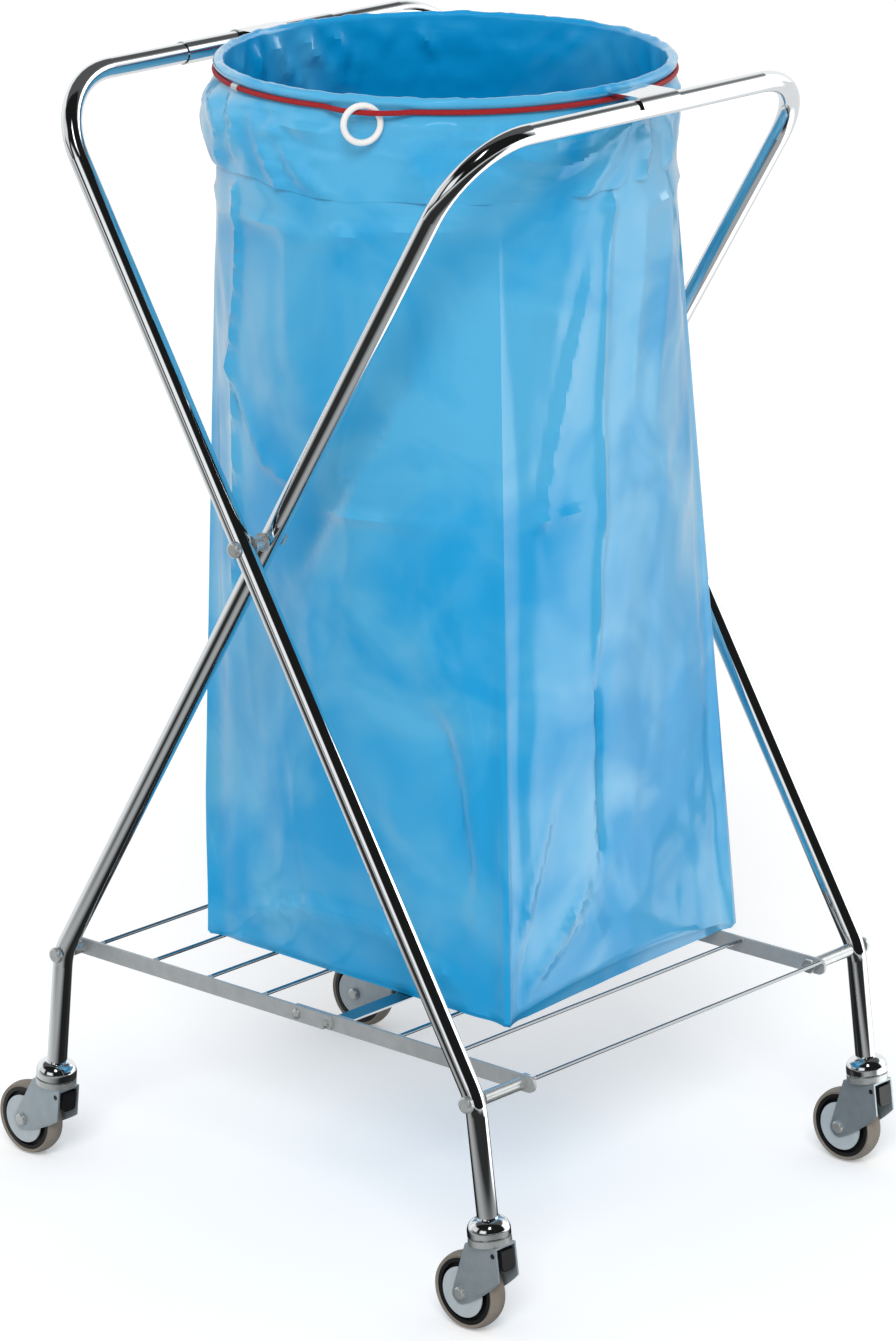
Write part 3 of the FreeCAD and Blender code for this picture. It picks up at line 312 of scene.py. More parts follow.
sackSizes = {
    "columns": 64,  # on each of its four sides
    "wall": 0.4 * mm,  # thicker than the real film, which would vanish
    "rodGap": 0.8 * mm,
    "bandRadius": 216.3 * mm,
    "bandHeight": -6.8 * mm,  # from the hoop's plane
    "bandHalf": 2.5 * mm,  # half its thickness
    "bandGap": 0.9 * mm,
    "cuffDrop": 90 * mm,
    "neckDrop": 95 * mm,
    "neckRadius": 216.6 * mm,
    "cuffRows": 30, "rimRows": 12, "neckRows": 14, "bodyRows": 100, "footRows": 4, "baseRows": 6,
    "footHeight": (20 * mm, 12 * mm, 12 * mm, 6 * mm),  # of the turned-under strip, for each side
    "cornerHeight": 3.5 * mm,
    "underside": 0.3 * mm,  # the middle of the wall at the very bottom
    "drawnIn": 0.03,  # share of the way to the middle
    "swell": (0, 0, 0, -6 * mm),  # how far each corner bulges along X above the foot
    "foldDepths": (1.4, 1.4, 1.4, 2.2),  # of each side's drawn folds, times what the list says
    "foldFade": 45,  # mm, from the end of a fold to its full depth
    "smoothUnder": 32,  # degrees between faces
}
# How the columns of points crowd together at the corners and at the long pressed fold, in shares of a side
crowding = {"cornerWidth": 0.07, "atCorner": 0.62, "foldPlace": 0.36, "foldWidth": 0.06, "atFold": 0.5}
# Waves of the film below the neck: depths in mm, sizes in metres
waves = {
    "panel": 5.0, "panelSize": 0.085,
    "crease": 5.5, "creaseSize": 0.085,
    "warp": 0.02, "warpSize": 0.09,  # bends the creases
    "patchSize": 0.16, "leastCreased": 0.35, "moreCreased": 0.9,  # from one patch to the next
    "pucker": 1.0, "puckerSize": 0.05,
    "heightShare": 0.4,  # less than 1 draws the waves out up and down
    "calmCorner": 0.12,  # share of a side
    "calmNeck": 0.1, "calmFoot": 0.93,  # share of the height, down from the neck
    "foldCorner": 0.03, "foldFoot": 0.96,  # the same for the drawn folds
    "sideLength": 380, "ridge": 3.2, "ridgeWidth": 6,  # mm, the pressed edge at each corner
    "groove": 1.8, "groovePlace": 20, "grooveWidth": 11,  # mm, beside that edge
}
# The cuff that hangs outside, in mm
cuffShape = {
    "rest": 217.5, "bulge": 3.6,
    "sway": 2.2, "swayOften": 1.7,  # waves to a radius
    "lump": 3.4, "lumpOften": 3.4, "lumpTall": 1.4,
    "crease": 5.5, "creaseSize": 0.055, "creaseTall": 0.06,  # metres
    "pleatsLeast": 0.3, "pleatsMore": 0.9,  # shares of the pleats at the hem, and more under the band
    "bagAngle": math.radians(224), "bagWidth": 0.5, "bagBulge": 7.0,  # a slack bag on the left, in radians
    "drawnInFrom": 0.86,  # share of the height from hem to band
    "least": 216.6, "hemSpring": 0.9,  # the nearest that it comes to the film inside it, and more at the hem
    "ringAngle": math.radians(-66.5), "atRing": 217.2, "awayFromRing": 15,  # leaves the pull ring its swing
    "hemWaves": ((5 * mm, 2.2), (3 * mm, 7)),  # depth, and waves to a radius
}
rimShape = {"from": -32, "turn": 212, "slack": 0.7, "gather": 0.75}  # degrees round the rod, mm
pleats = ((1.9, 9, 9), (1.5, 26, 5))  # depth in mm, how often to a radius, how often down the height
creaseRadius = 0.22  # metres, near the hoop's, so that creases round it keep their size
# The film inside the mouth, in mm. Its far left hangs slack.
neckShape = {
    "inset": 1.6, "slackInset": 2.5, "slackGather": 1.6,
    "crease": 4.0, "slackCrease": 13, "creaseSize": 0.06, "creaseTall": 0.07,  # metres
    "slackAngle": math.radians(165), "slackWidth": 0.7,  # radians
    "outermost": 1 * mm,
}
# Folds in the order of the sides: front to right, right to back, back to left, left to front.
# Each has its side, its line (share of the side, share of the height down from the neck), its depth and width
# in mm, and a step from one side of the line to the other.
folds = [
    (0, ((0.36, -0.05), (0.35, 0.2), (0.36, 0.38), (0.35, 0.5), (0.34, 0.62)), 3.2, 6, 0.5),
    (0, ((0.34, 0.6), (0.37, 0.77), (0.41, 0.88)), -4.5, 5, 4.5),
    (0, ((0.02, 0.02), (0.2, 0.035), (0.34, 0.02), (0.62, 0.03), (0.98, 0.01)), 2.2, 5, 0.6),
    (0, ((0.05, 0.14), (0.18, 0.15), (0.3, 0.14)), 2.2, 5, -1.5),
    (0, ((0.3, 0.05), (0.24, 0.16), (0.17, 0.3), (0.12, 0.42)), 2.6, 12, -3.0),
    (0, ((0.02, 0.4), (0.17, 0.385), (0.35, 0.39)), 2.4, 4, 2.0),
    (0, ((0.35, 0.39), (0.62, 0.37), (0.98, 0.395)), 1.3, 5, 0.0),
    (0, ((0.5, 0.0), (0.52, 0.12), (0.47, 0.3)), 2.2, 12, 0.0),
    (0, ((0.68, 0.0), (0.66, 0.14), (0.6, 0.33)), 1.8, 14, 0.0),
    (0, ((0.82, 0.63), (0.9, 0.65), (0.99, 0.64)), 1.6, 6, 1.0),
    (0, ((0.8, 0.72), (0.9, 0.71), (0.99, 0.73)), 1.6, 6, -1.0),
    (0, ((0.21, 0.72), (0.12, 0.84), (0.02, 0.96)), 3.0, 7, 2.0),
    (0, ((0.36, 0.86), (0.22, 0.93), (0.04, 0.99)), 3.6, 6, -2.6),
    (0, ((0.27, 0.89), (0.33, 0.95)), 2.4, 6, 1.5),
    (0, ((0.5, 0.83), (0.44, 0.87), (0.4, 0.9)), 2.0, 7, 1.0),
    (0, ((0.06, 0.44), (0.03, 0.455), (0.01, 0.47)), 1.6, 6, 1.0),
    (3, ((0.36, -0.05), (0.33, 0.06), (0.24, 0.25), (0.2, 0.4), (0.15, 0.56)), 2.6, 6, 2.2),
    (3, ((0.03, 0.03), (0.35, 0.035), (0.6, 0.045), (0.84, 0.025), (0.98, 0.03)), 2.0, 5, 0.8),
    (3, ((0.53, 0.0), (0.5, 0.1), (0.47, 0.24)), 2.0, 12, 0.0),
    (3, ((0.68, 0.0), (0.63, 0.1), (0.56, 0.22)), 1.8, 10, 0.0),
    (3, ((0.2, 0.2), (0.25, 0.27), (0.34, 0.35), (0.5, 0.38)), 2.4, 12, -2.5),
    (3, ((0.84, 0.14), (0.76, 0.24), (0.6, 0.37), (0.4, 0.5)), -2.2, 16, -2.5),
    (3, ((0.45, 0.39), (0.57, 0.39), (0.75, 0.385), (0.98, 0.38)), 1.8, 4, 1.2),
    (3, ((0.79, 0.6), (0.86, 0.69), (0.9, 0.87)), -3.0, 16, -2.5),
    (3, ((0.6, 0.745), (0.68, 0.77), (0.76, 0.775)), 1.6, 4, 0.0),
    (3, ((0.61, 0.77), (0.69, 0.79), (0.77, 0.8)), 1.4, 4, 0.0),
    (3, ((0.64, 0.59), (0.71, 0.59)), 1.3, 5, 0.0),
    (3, ((0.1, 0.96), (0.36, 0.92), (0.6, 0.92), (0.9, 0.97)), 1.6, 14, 2.0),
    (1, ((0.3, -0.02), (0.36, 0.3), (0.33, 0.62), (0.38, 0.9)), 3.0, 6, 2.0),
    (1, ((0.02, 0.385), (0.5, 0.375), (0.98, 0.39)), 2.0, 5, 0.8),
    (1, ((0.65, 0.05), (0.6, 0.3), (0.7, 0.5)), 2.4, 12, -2.0),
    (2, ((0.62, -0.02), (0.66, 0.35), (0.6, 0.9)), 2.8, 6, 2.0),
    (2, ((0.02, 0.39), (0.5, 0.38), (0.98, 0.4)), 2.0, 5, 0.8),
    (2, ((0.2, 0.1), (0.3, 0.32), (0.25, 0.6)), 2.2, 12, 2.0),
]
# Folds of the cuff: a line of (degrees round the hoop, share of the height from hem to band), depth, width
cuffFolds = [
    (((-99, 0.66), (-95, 0.35), (-92, 0.0)), 6, 5),
    (((-95, 0.62), (-89, 0.74), (-80, 0.73), (-74, 0.68)), 4, 4),
    (((-93, 0.66), (-86, 0.3), (-79, 0.05)), 4, 5),
    (((-36, 0.7), (-29, 0.47), (-18, 0.36), (-8, 0.5), (3, 0.8)), 6, 5),
    (((-31, 0.8), (-20, 0.6), (-8, 0.68), (0, 0.84)), 4, 4),
    (((4, 0.88), (-4, 0.4), (-13, 0.0)), 5, 6),
    (((4, 0.88), (10, 0.4), (8, 0.0)), 5, 5),
    (((14, 0.9), (22, 0.45), (24, 0.1)), 5, 6),
    (((-124, 0.85), (-116, 0.5), (-119, 0.1)), 5, 6),
    (((-112, 0.9), (-107, 0.6), (-110, 0.3)), 4, 5),
    (((-60, 0.5), (-52, 0.3), (-50, 0.0)), 3, 7),
    (((60, 0.9), (66, 0.4), (62, 0.0)), 5, 6),
    (((110, 0.9), (103, 0.5), (108, 0.1)), 5, 7),
    (((150, 0.85), (158, 0.4), (155, 0.0)), 5, 6),
    (((195, 0.9), (188, 0.4), (192, 0.0)), 5, 6),
]
# Folds inside the mouth: the height runs from the rod down to the neck
neckFolds = [
    (((187, 0.0), (182, 0.3), (176, 0.6)), 7, 5),
    (((164, 0.0), (161, 0.28)), 6, 5), (((168, 0.0), (162, 0.26)), 5, 4),
    (((173, 0.02), (170, 0.32)), 6, 5), (((176, 0.4), (169, 0.85)), 6, 5),
    (((141, 0.0), (136, 0.34)), 6, 4), (((150, 0.05), (148, 0.2)), 4, 4),
    (((194, 0.1), (190, 0.6)), 6, 6), (((96, 0.1), (99, 0.7)), 4, 8), (((60, 0.1), (57, 0.6)), 4, 8),
    (((-20, 0.1), (-24, 0.6)), 5, 7), (((-80, 0.1), (-76, 0.7)), 5, 7), (((-120, 0.1), (-123, 0.6)), 5, 6),
]
hoopLow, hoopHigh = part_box("hoop")
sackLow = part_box("sack")[0]
hoopCentre = (hoopLow + hoopHigh) / 2
rod = 4 * mm  # half its thickness
hoopRadius = (hoopHigh.y - hoopLow.y) / 2 - rod
hoopTilt = math.asin((hoopHigh.z - hoopLow.z - 2 * rod) / (2 * hoopRadius))
footCorners = [Vector((192, -131)) * mm, Vector((169, 229)) * mm, Vector((-236, 228)) * mm,
               Vector((-213, -123)) * mm]
cornerAngles = [math.atan2(corner.y, corner.x - hoopCentre.x) for corner in footCorners]


def smooth(x, low=0.0, high=1.0):
    t = min(1, max(0, (x - low) / (high - low)))
    return t * t * (3 - 2 * t)


def outwardAt(angle):
    return Vector((math.cos(angle), math.sin(angle), 0))


def around(angle, middle, width):  # 1 at the middle and nothing far round the hoop from it
    return math.exp(-(math.remainder(angle - middle, 2 * math.pi) / width) ** 2)


def onHoop(radius, angle, height):
    x, y = radius * math.cos(angle), radius * math.sin(angle)
    return hoopCentre + Vector((x * math.cos(hoopTilt) + height * math.sin(hoopTilt), y,
                                height * math.cos(hoopTilt) - x * math.sin(hoopTilt)))


def columnPlaces():
    count = sackSizes["columns"]
    reached, places = 0.0, []
    for number in range(count):
        middle = (number + 0.5) / count
        corner = (math.exp(-(middle / crowding["cornerWidth"]) ** 2)
                  + math.exp(-((1 - middle) / crowding["cornerWidth"]) ** 2))
        pressed = math.exp(-((middle - crowding["foldPlace"]) / crowding["foldWidth"]) ** 2)
        places.append(reached)
        reached += 1 - crowding["atCorner"] * min(1, corner) - crowding["atFold"] * pressed
    return [place / reached for place in places]


def nearLine(line, here):  # distance to a line of points, and the side of it
    best = None
    for start, end in zip(line, line[1:]):
        along = (here - start).dot(end - start) / (end - start).length_squared
        gap = (here - start - (end - start) * min(1, max(0, along))).length
        sign = (end - start).x * (here - start).y - (end - start).y * (here - start).x
        if best is None or gap < best[0]:
            best = (gap, 1 if sign > 0 else -1)
    return best


def foldPush(side, share, level):  # the drawn folds below the neck, in mm
    reach = (footCorners[(side + 1) % 4] - footCorners[side]).length
    tall = hoopCentre.z - sackSizes["neckDrop"] - sackLow.z
    here = Vector((share * reach, level * tall)) / mm
    push = 0.0
    for foldSide, line, depth, width, step in folds:
        if foldSide != side:
            continue
        points = [Vector((u * reach, v * tall)) / mm for u, v in line]
        gap, hand = nearLine(points, here)
        if gap > 9 * width:  # too far away to show
            continue
        ends = min((here - points[0]).length, (here - points[-1]).length)
        fade = smooth(ends, 0, sackSizes["foldFade"]) * math.exp(-gap / width)
        stepped = step * hand * (1 - math.exp(-gap / (0.3 * width)))
        push += sackSizes["foldDepths"][side] * (depth + stepped) * fade
    return push


def creased(place, size, seed):  # raised sharp lines between smooth panels
    distances = noise.voronoi(place / size + Vector((seed, 0, 0)))[0]
    return 0.35 - min(0.6, distances[1] - distances[0])


def filmPush(point, side, share, level):
    edge = min(share, 1 - share)
    fromCorner = edge * waves["sideLength"]
    stretched = Vector((point.x, point.y, point.z * waves["heightShare"]))
    drift = point / waves["warpSize"]
    warp = Vector((noise.noise(drift), noise.noise(drift + Vector((7, 0, 0))), 0)) * waves["warp"]
    patch = noise.noise(point / waves["patchSize"] + Vector((0, 5, 0)))
    rough = waves["leastCreased"] + waves["moreCreased"] * smooth(patch, -0.25, 0.35)
    soft = noise.noise(stretched / waves["panelSize"] + Vector((3.1, 0, 0)))
    small = noise.turbulence(point / waves["puckerSize"], 2, True) - 0.5
    calm = smooth(edge, 0, waves["calmCorner"])
    crease = waves["crease"] * rough * creased(stretched + warp, waves["creaseSize"], 0)
    panels = waves["panel"] * soft + crease
    loose = calm * panels + (0.3 + 0.7 * calm) * waves["pucker"] * small
    ridge = (waves["ridge"] * math.exp(-fromCorner / waves["ridgeWidth"])
             - waves["groove"] * math.exp(-((fromCorner - waves["groovePlace"]) / waves["grooveWidth"]) ** 2))
    held = smooth(level, -0.02, waves["calmNeck"]) * (1 - 0.75 * smooth(level, waves["calmFoot"], 1))
    drawn = (foldPush(side, share, level) * smooth(edge, 0, waves["foldCorner"])
             * (1 - 0.7 * smooth(level, waves["foldFoot"], 1)))
    return (loose * held + drawn + ridge * smooth(level, 0, 0.06)) * mm


def gathers(angle, height):  # fine radial pleats where the film is drawn in under the band, in mm
    outward = outwardAt(angle)
    return sum(depth * noise.noise(outward * often + Vector((0, 0, height * down)))
               for depth, often, down in pleats)


def roundPush(drawn, angle, t, tall):  # the drawn folds of the cuff or of the inside, in mm
    across = (sackSizes["neckRadius"] * math.pi / 180) / mm
    push = 0.0
    for line, depth, width in drawn:
        apart = math.remainder(math.degrees(angle) - line[0][0], 360)
        points = [Vector((a * across, height * tall / mm)) for a, height in line]
        gap = nearLine(points, Vector(((line[0][0] + apart) * across, t * tall / mm)))[0]
        width += 2.5  # as wide as the columns of points can show
        if gap < 6 * width:
            push += depth * (math.exp(-gap / width) - 0.35 * math.exp(-((gap - 2.2 * width) / width) ** 2))
    return push


def cuffRow(number, angles):
    drop = sackSizes["cuffDrop"]
    t = number / sackSizes["cuffRows"]  # hem up to the band
    ring = []
    for angle in angles:
        outward = outwardAt(angle)
        clear = smooth(abs(math.remainder(angle - cuffShape["ringAngle"], 2 * math.pi)), 0.1, 0.3)
        bag = around(angle, cuffShape["bagAngle"], cuffShape["bagWidth"])
        bulge = cuffShape["bulge"] + cuffShape["bagBulge"] * bag
        bulge *= math.sin(math.pi * min(1, t * 1.05)) ** 0.8
        sway = cuffShape["sway"] * noise.noise(outward * cuffShape["swayOften"])
        belly = (cuffShape["rest"] + bulge + sway) * mm
        pinch = smooth(t, cuffShape["drawnInFrom"] - 0.1 * bag, 1)
        crease = creased(outward * creaseRadius + Vector((0, 0, t * cuffShape["creaseTall"])),
                         cuffShape["creaseSize"], 4)
        lump = noise.noise(outward * cuffShape["lumpOften"] + Vector((0, 0, t * cuffShape["lumpTall"])))
        pleated = cuffShape["pleatsLeast"] + cuffShape["pleatsMore"] * smooth(t, 0.4, 0.95)
        push = (cuffShape["crease"] * crease + cuffShape["lump"] * lump
                + gathers(angle, t) * pleated + roundPush(cuffFolds, angle, t, drop))
        radius = belly + push * (1 - pinch) * mm
        if clear < 1:
            radius = min(radius, (cuffShape["atRing"] + cuffShape["awayFromRing"] * clear) * mm)
        radius = max(radius, cuffShape["least"] * mm + cuffShape["hemSpring"] * mm * (1 - t))
        underBand = sackSizes["bandRadius"] - sackSizes["bandHalf"] - sackSizes["bandGap"]
        radius += (underBand - radius) * pinch
        hem = sum(depth * noise.noise(outward * often) * (1 - t) for depth, often in cuffShape["hemWaves"])
        ring.append(onHoop(radius, angle, -drop + hem + (drop + sackSizes["bandHeight"]) * t))
    return ring


def rimRow(number, angles):  # from the outside over the rod
    turn = math.radians(rimShape["from"] + rimShape["turn"] * number / sackSizes["rimRows"])
    ring = []
    for angle in angles:
        lump = gathers(angle, 0.3 + number * 0.02)
        slack = (rimShape["slack"] + rimShape["gather"] * lump) * mm
        gap = rod + sackSizes["rodGap"] + slack * math.sin(math.pi * number / sackSizes["rimRows"])
        ring.append(onHoop(hoopRadius + gap * math.cos(turn), angle, gap * math.sin(turn)))
    return ring


def neckRow(number, angles):  # inside the hoop, swelling below it
    t = number / sackSizes["neckRows"]
    drop = sackSizes["neckDrop"]
    inside = hoopRadius - rod - sackSizes["rodGap"]
    radius = inside + (sackSizes["neckRadius"] - inside) * smooth(t, 0.25, 1)
    ring = []
    for angle in angles:
        outward = outwardAt(angle)
        crease = creased(outward * creaseRadius + Vector((0, 0, t * neckShape["creaseTall"])),
                         neckShape["creaseSize"], 9)
        slack = around(angle, neckShape["slackAngle"], neckShape["slackWidth"])
        push = (-neckShape["inset"] + (neckShape["crease"] + neckShape["slackCrease"] * slack) * crease
                + (1 + neckShape["slackGather"] * slack) * gathers(angle, 0.9 - t)
                - neckShape["slackInset"] * slack) * mm
        push -= roundPush(neckFolds, angle, t, drop) * mm
        push *= smooth(t, 0, 0.2) * (1 - 0.6 * smooth(t, 0.8, 1))
        start = onHoop(radius + min(push, neckShape["outermost"]), angle, -drop * t)
        level = Vector((hoopCentre.x + radius * outward.x, radius * outward.y, hoopCentre.z - drop * t))
        ring.append(start + (level - start) * t)
    return ring


def bodyPoint(side, share, angle, level):  # between the round neck and the four-cornered foot
    radius = sackSizes["neckRadius"]
    swell = sackSizes["swell"]
    after = (side + 1) % 4
    corners = [Vector((hoopCentre.x + radius * math.cos(a), radius * math.sin(a)))
               for a in (cornerAngles[side], cornerAngles[after])]
    chord = corners[0].lerp(corners[1], share)
    arc = Vector((hoopCentre.x + radius * math.cos(angle), radius * math.sin(angle)))
    low = footCorners[side].lerp(footCorners[after], share)
    flat = chord.lerp(low, level) + (arc - chord) * (1 - level) ** 1.15  # round goes over into straight
    full = smooth(level, 0, 0.15) * (1 - smooth(level, 0.8, 1))  # no bulge at the neck and at the foot
    flat.x += full * (swell[side] * (1 - smooth(share, 0, 0.3)) + swell[after] * smooth(share, 0.7, 1))
    along = footCorners[after] - footCorners[side]
    square = Vector((along.y, -along.x)).normalized()
    outward = Vector((math.cos(angle), math.sin(angle))).lerp(square, level).normalized()
    strip = (sackSizes["footHeight"][side] - sackSizes["cornerHeight"]) * math.sin(math.pi * share) ** 0.7
    top = hoopCentre.z - sackSizes["neckDrop"]
    bottom = sackLow.z + sackSizes["cornerHeight"] + strip
    return Vector((flat.x, flat.y, top + (bottom - top) * level)), Vector((outward.x, outward.y, 0))


def sackRings():
    shares = columnPlaces()
    wheres = []
    for side in range(4):
        first = cornerAngles[side]
        turn = (cornerAngles[(side + 1) % 4] - first) % (2 * math.pi)
        wheres += [(side, share, first + turn * share) for share in shares]
    angles = [angle for side, share, angle in wheres]
    rings = [cuffRow(number, angles) for number in range(sackSizes["cuffRows"] + 1)]
    rings += [rimRow(number, angles) for number in range(1, sackSizes["rimRows"] + 1)]
    rings += [neckRow(number, angles) for number in range(1, sackSizes["neckRows"] + 1)]
    for number in range(1, sackSizes["bodyRows"] + 1):
        level = number / sackSizes["bodyRows"]
        ring = []
        for side, share, angle in wheres:
            point, outward = bodyPoint(side, share, angle, level)
            ring.append(point + outward * filmPush(point, side, share, level))
        rings.append(ring)
    pressed = rings[-1]
    bottom = sackLow.z + sackSizes["underside"]
    middle = sum((Vector((c.x, c.y, 0)) for c in footCorners), Vector()) / 4
    for number in range(1, sackSizes["footRows"] + 1):  # turned under from the pressed lower edge
        t = number / sackSizes["footRows"]
        ring = []
        for start in pressed:
            high = (start.z - sackLow.z) / sackSizes["footHeight"][0]
            inward = sackSizes["drawnIn"] * t * (0.15 + high)
            low = start.lerp(Vector((middle.x, middle.y, start.z)), inward)
            low.z = start.z + (bottom - start.z) * (t - 0.12 * math.sin(math.pi * t))
            ring.append(low)
        rings.append(ring)
    outline = rings[-1]
    centre = Vector((middle.x, middle.y, bottom))
    for number in range(1, sackSizes["baseRows"] + 1):
        rings.append([point.lerp(centre, number / sackSizes["baseRows"]) for point in outline])
    return rings


def addSack():
    rings = sackRings()
    count = len(rings[0])
    bpy.ops.object.select_all(action="DESELECT")
    bpy.ops.mesh.primitive_grid_add(x_subdivisions=count, y_subdivisions=len(rings) - 1, size=2)
    sack = bpy.context.object
    sack.name = "filmSack"
    places = []
    for ring in rings:
        places.extend(ring + ring[:1])
    for vertex, place in zip(sack.data.vertices, places):
        vertex.co = place
    bpy.ops.object.mode_set(mode="EDIT")
    bpy.ops.mesh.select_all(action="SELECT")
    bpy.ops.mesh.remove_doubles(threshold=0.00001)  # closes each ring and the middle of the base
    bpy.ops.mesh.normals_make_consistent(inside=False)
    bpy.ops.object.mode_set(mode="OBJECT")
    bpy.ops.object.modifier_add(type="SOLIDIFY")
    sack.modifiers[-1].thickness = sackSizes["wall"]
    sack.modifiers[-1].offset = 0
    bpy.ops.object.modifier_apply(modifier=sack.modifiers[-1].name)
    bpy.ops.object.shade_smooth_by_angle(angle=math.radians(sackSizes["smoothUnder"]))
    sack.data.materials.append(film)
    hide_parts("sack")
    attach(sack, "mouth")
    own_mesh(sack)
    print("sack:", sum(len(face.vertices) - 2 for face in sack.data.polygons), "triangles")


addSack()


# Studio: pale floor, white surroundings, dark room behind the camera that the chrome mirrors

studio = {
    "floorHalf": 40,
    "sunTurn": (48, 14, 28),  # degrees
    "sunStrength": 1.5,
    "sunWidth": 24,  # degrees, a large soft box
    "sky": 0.62,
    "floorLift": 0.24,  # brings the lit paper to white for the camera and leaves the shadow
    # what bright metal mirrors, each laid over those before: turn to the right of the camera and rise in
    # degrees, from and to, with the shade
    "room": (
        (-300, 300, 38, 100, 0.10),  # dark ceiling
        (-104, 90, -100, 100, 0.012),  # dark room behind the camera
        (-50, -17, 4, 27, 1.0),  # soft box on the left
        (-112, -68, 6, 36, 0.8),  # pale wall on the left
        (97, 135, -8, 34, 2.6),  # large soft box on the right, which gives the film its sheen
        (-4, 9, 44, 62, 4.0),  # window high over the camera, which gives the film its glints
    ),
    "roomEdge": 5,  # degrees
    # the floor as it is mirrored, with painted light and painted shadow: brightness by the distance from the
    # middle in metres
    # painted light: the lit paper round the stand
    "paintedLightNearStand": {"From Min": 0.75, "From Max": 1.15, "To Min": 0.42, "To Max": 0.03},
    "horizon": {"From Min": 4.0, "From Max": 12.0, "To Min": 0, "To Max": 0.75},
    # painted shadow: the dark under the shelf
    "paintedShadowUnderStand": {"From Min": 0.36, "From Max": 0.55, "To Min": 0.04, "To Max": 1.0},
    # and by the direction, as the cosine of the turn from the camera or from its right
    "behindStand": {"From Min": 0.25, "From Max": -0.35},
    "behindShade": 0.85,
    "atRight": {"From Min": 0.9, "From Max": 0.97},
    "paintedLightRight": 1.9,  # painted light: the lit paper that the film's right face mirrors
}
towardCamera = (Vector(viewpoint["place"]) * Vector((1, 1, 0))).normalized()
rightOfCamera = Vector((-towardCamera.y, towardCamera.x, 0))


def addFloor():
    bpy.ops.object.select_all(action="DESELECT")
    bpy.ops.mesh.primitive_plane_add(size=2 * studio["floorHalf"], location=(0, 0, -0.2 * mm))
    floor = bpy.context.object
    floor.name = "studioFloor"
    material, tree, shader, place = newMaterial("paleStudioFloor", {
        "Base Color": linear("#f4f5f6"), "Roughness": 0.9, "Specular IOR Level": 0.1,
        "Emission Color": (1, 1, 1, 1)})
    path = addNode(tree, "LightPath")
    lift = addNode(tree, "Math", {"operation": "MULTIPLY", 1: studio["floorLift"]},
                   {0: path.outputs["Is Camera Ray"]})
    tree.links.new(lift.outputs[0], shader.inputs["Emission Strength"])
    far = addNode(tree, "VectorMath", {"operation": "LENGTH"}, {0: place}).outputs["Value"]
    paintedLightNearStand = addNode(tree, "MapRange", studio["paintedLightNearStand"], {"Value": far})
    horizon = addNode(tree, "MapRange", studio["horizon"], {"Value": far})
    paper = addNode(tree, "Math", {"operation": "ADD"}, {0: paintedLightNearStand.outputs[0], 1: horizon.outputs[0]})
    flat = addNode(tree, "VectorMath", {"operation": "NORMALIZE"}, {0: place})
    facing = addNode(tree, "VectorMath", {"operation": "DOT_PRODUCT", 1: towardCamera}, {0: flat.outputs[0]})
    behind = addNode(tree, "MapRange", studio["behindStand"], {"Value": facing.outputs["Value"]})
    back = addNode(tree, "Mix", {3: studio["behindShade"]}, {0: behind.outputs[0], 2: paper.outputs[0]})
    side = addNode(tree, "VectorMath", {"operation": "DOT_PRODUCT", 1: rightOfCamera}, {0: flat.outputs[0]})
    bright = addNode(tree, "MapRange", studio["atRight"], {"Value": side.outputs["Value"]})
    lit = addNode(tree, "Mix", {3: studio["paintedLightRight"]}, {0: bright.outputs[0], 2: back.outputs[0]})
    # painted shadow of the stand, as mirrors see it in the floor
    under = addNode(tree, "MapRange", studio["paintedShadowUnderStand"], {"Value": far})
    shade = addNode(tree, "Math", {"operation": "MULTIPLY"}, {0: lit.outputs[0], 1: under.outputs[0]})
    # the floor glows for mirrors only, with this painted light and painted shadow
    mirrored = addNode(tree, "Emission", {}, {"Color": shade.outputs[0]})
    both = addNode(tree, "MixShader", {}, {
        0: path.outputs["Is Glossy Ray"], 1: shader.outputs[0], 2: mirrored.outputs[0]})
    tree.links.new(both.outputs[0], tree.nodes["Material Output"].inputs["Surface"])
    floor.data.materials.append(material)


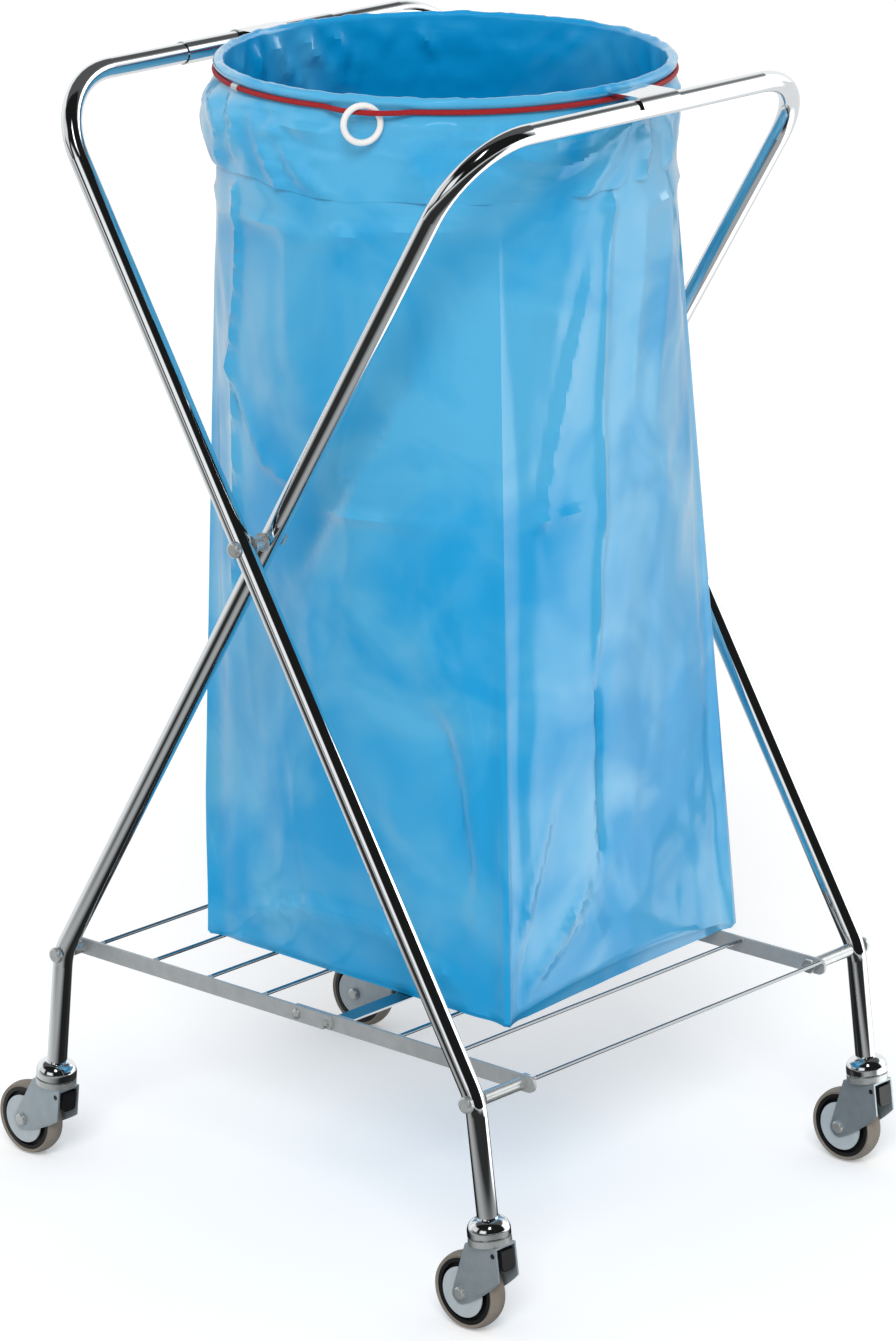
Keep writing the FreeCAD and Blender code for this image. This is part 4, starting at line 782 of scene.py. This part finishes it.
def addWorld():
    world = bpy.data.worlds.new("studioWorld")
    bpy.context.scene.world = world
    world.use_nodes = True
    tree = world.node_tree
    tree.nodes.clear()
    towards = addNode(tree, "TexCoord").outputs["Generated"]
    ahead = addNode(tree, "VectorMath", {"operation": "DOT_PRODUCT", 1: towardCamera}, {0: towards})
    aside = addNode(tree, "VectorMath", {"operation": "DOT_PRODUCT", 1: rightOfCamera}, {0: towards})
    turn = addNode(tree, "Math", {"operation": "ARCTAN2"},
                   {0: aside.outputs["Value"], 1: ahead.outputs["Value"]})
    height = addNode(tree, "SeparateXYZ", {}, {0: towards})
    rise = addNode(tree, "Math", {"operation": "ARCSINE"}, {0: height.outputs[2]})
    shade = None
    for turnLow, turnHigh, riseLow, riseHigh, value in studio["room"]:
        cover = None
        edges = (turn, turnLow, 1), (turn, turnHigh, -1), (rise, riseLow, 1), (rise, riseHigh, -1)
        for source, edge, sign in edges:
            soft = studio["roomEdge"] * sign
            part = addNode(tree, "MapRange", {
                "interpolation_type": "SMOOTHSTEP",
                "From Min": math.radians(edge - soft), "From Max": math.radians(edge + soft),
            }, {"Value": source.outputs[0]})
            if cover is None:
                cover = part
            else:
                cover = addNode(tree, "Math", {"operation": "MULTIPLY"},
                                {0: cover.outputs[0], 1: part.outputs[0]})
        before = {} if shade is None else {6: shade.outputs[2]}
        shade = addNode(tree, "Mix", {"data_type": "RGBA", 6: (1, 1, 1, 1), 7: (value, value, value, 1)},
                        {0: cover.outputs[0], **before})
    path = addNode(tree, "LightPath")
    even = addNode(tree, "Mix", {"data_type": "RGBA", 6: (studio["sky"],) * 3 + (1,)},
                   {0: path.outputs["Is Glossy Ray"], 7: shade.outputs[2]})
    seen = addNode(tree, "Mix", {"data_type": "RGBA", 7: (1, 1, 1, 1)},
                   {0: path.outputs["Is Camera Ray"], 6: even.outputs[2]})
    background = addNode(tree, "Background", {"Strength": 1.0}, {"Color": seen.outputs[2]})
    addNode(tree, "OutputWorld", {}, {"Surface": background.outputs[0]})


def addSun():
    bpy.ops.object.light_add(type="SUN", location=(2, -1, 4))
    sun = bpy.context.object
    sun.rotation_euler = [math.radians(a) for a in studio["sunTurn"]]
    sun.data.energy = studio["sunStrength"]
    sun.data.angle = math.radians(studio["sunWidth"])
    sun.visible_glossy = False  # its place in the mirrors is taken by the window of the room


addFloor()
addWorld()
addSun()
print("studio set")

bpy.context.view_layer.update()
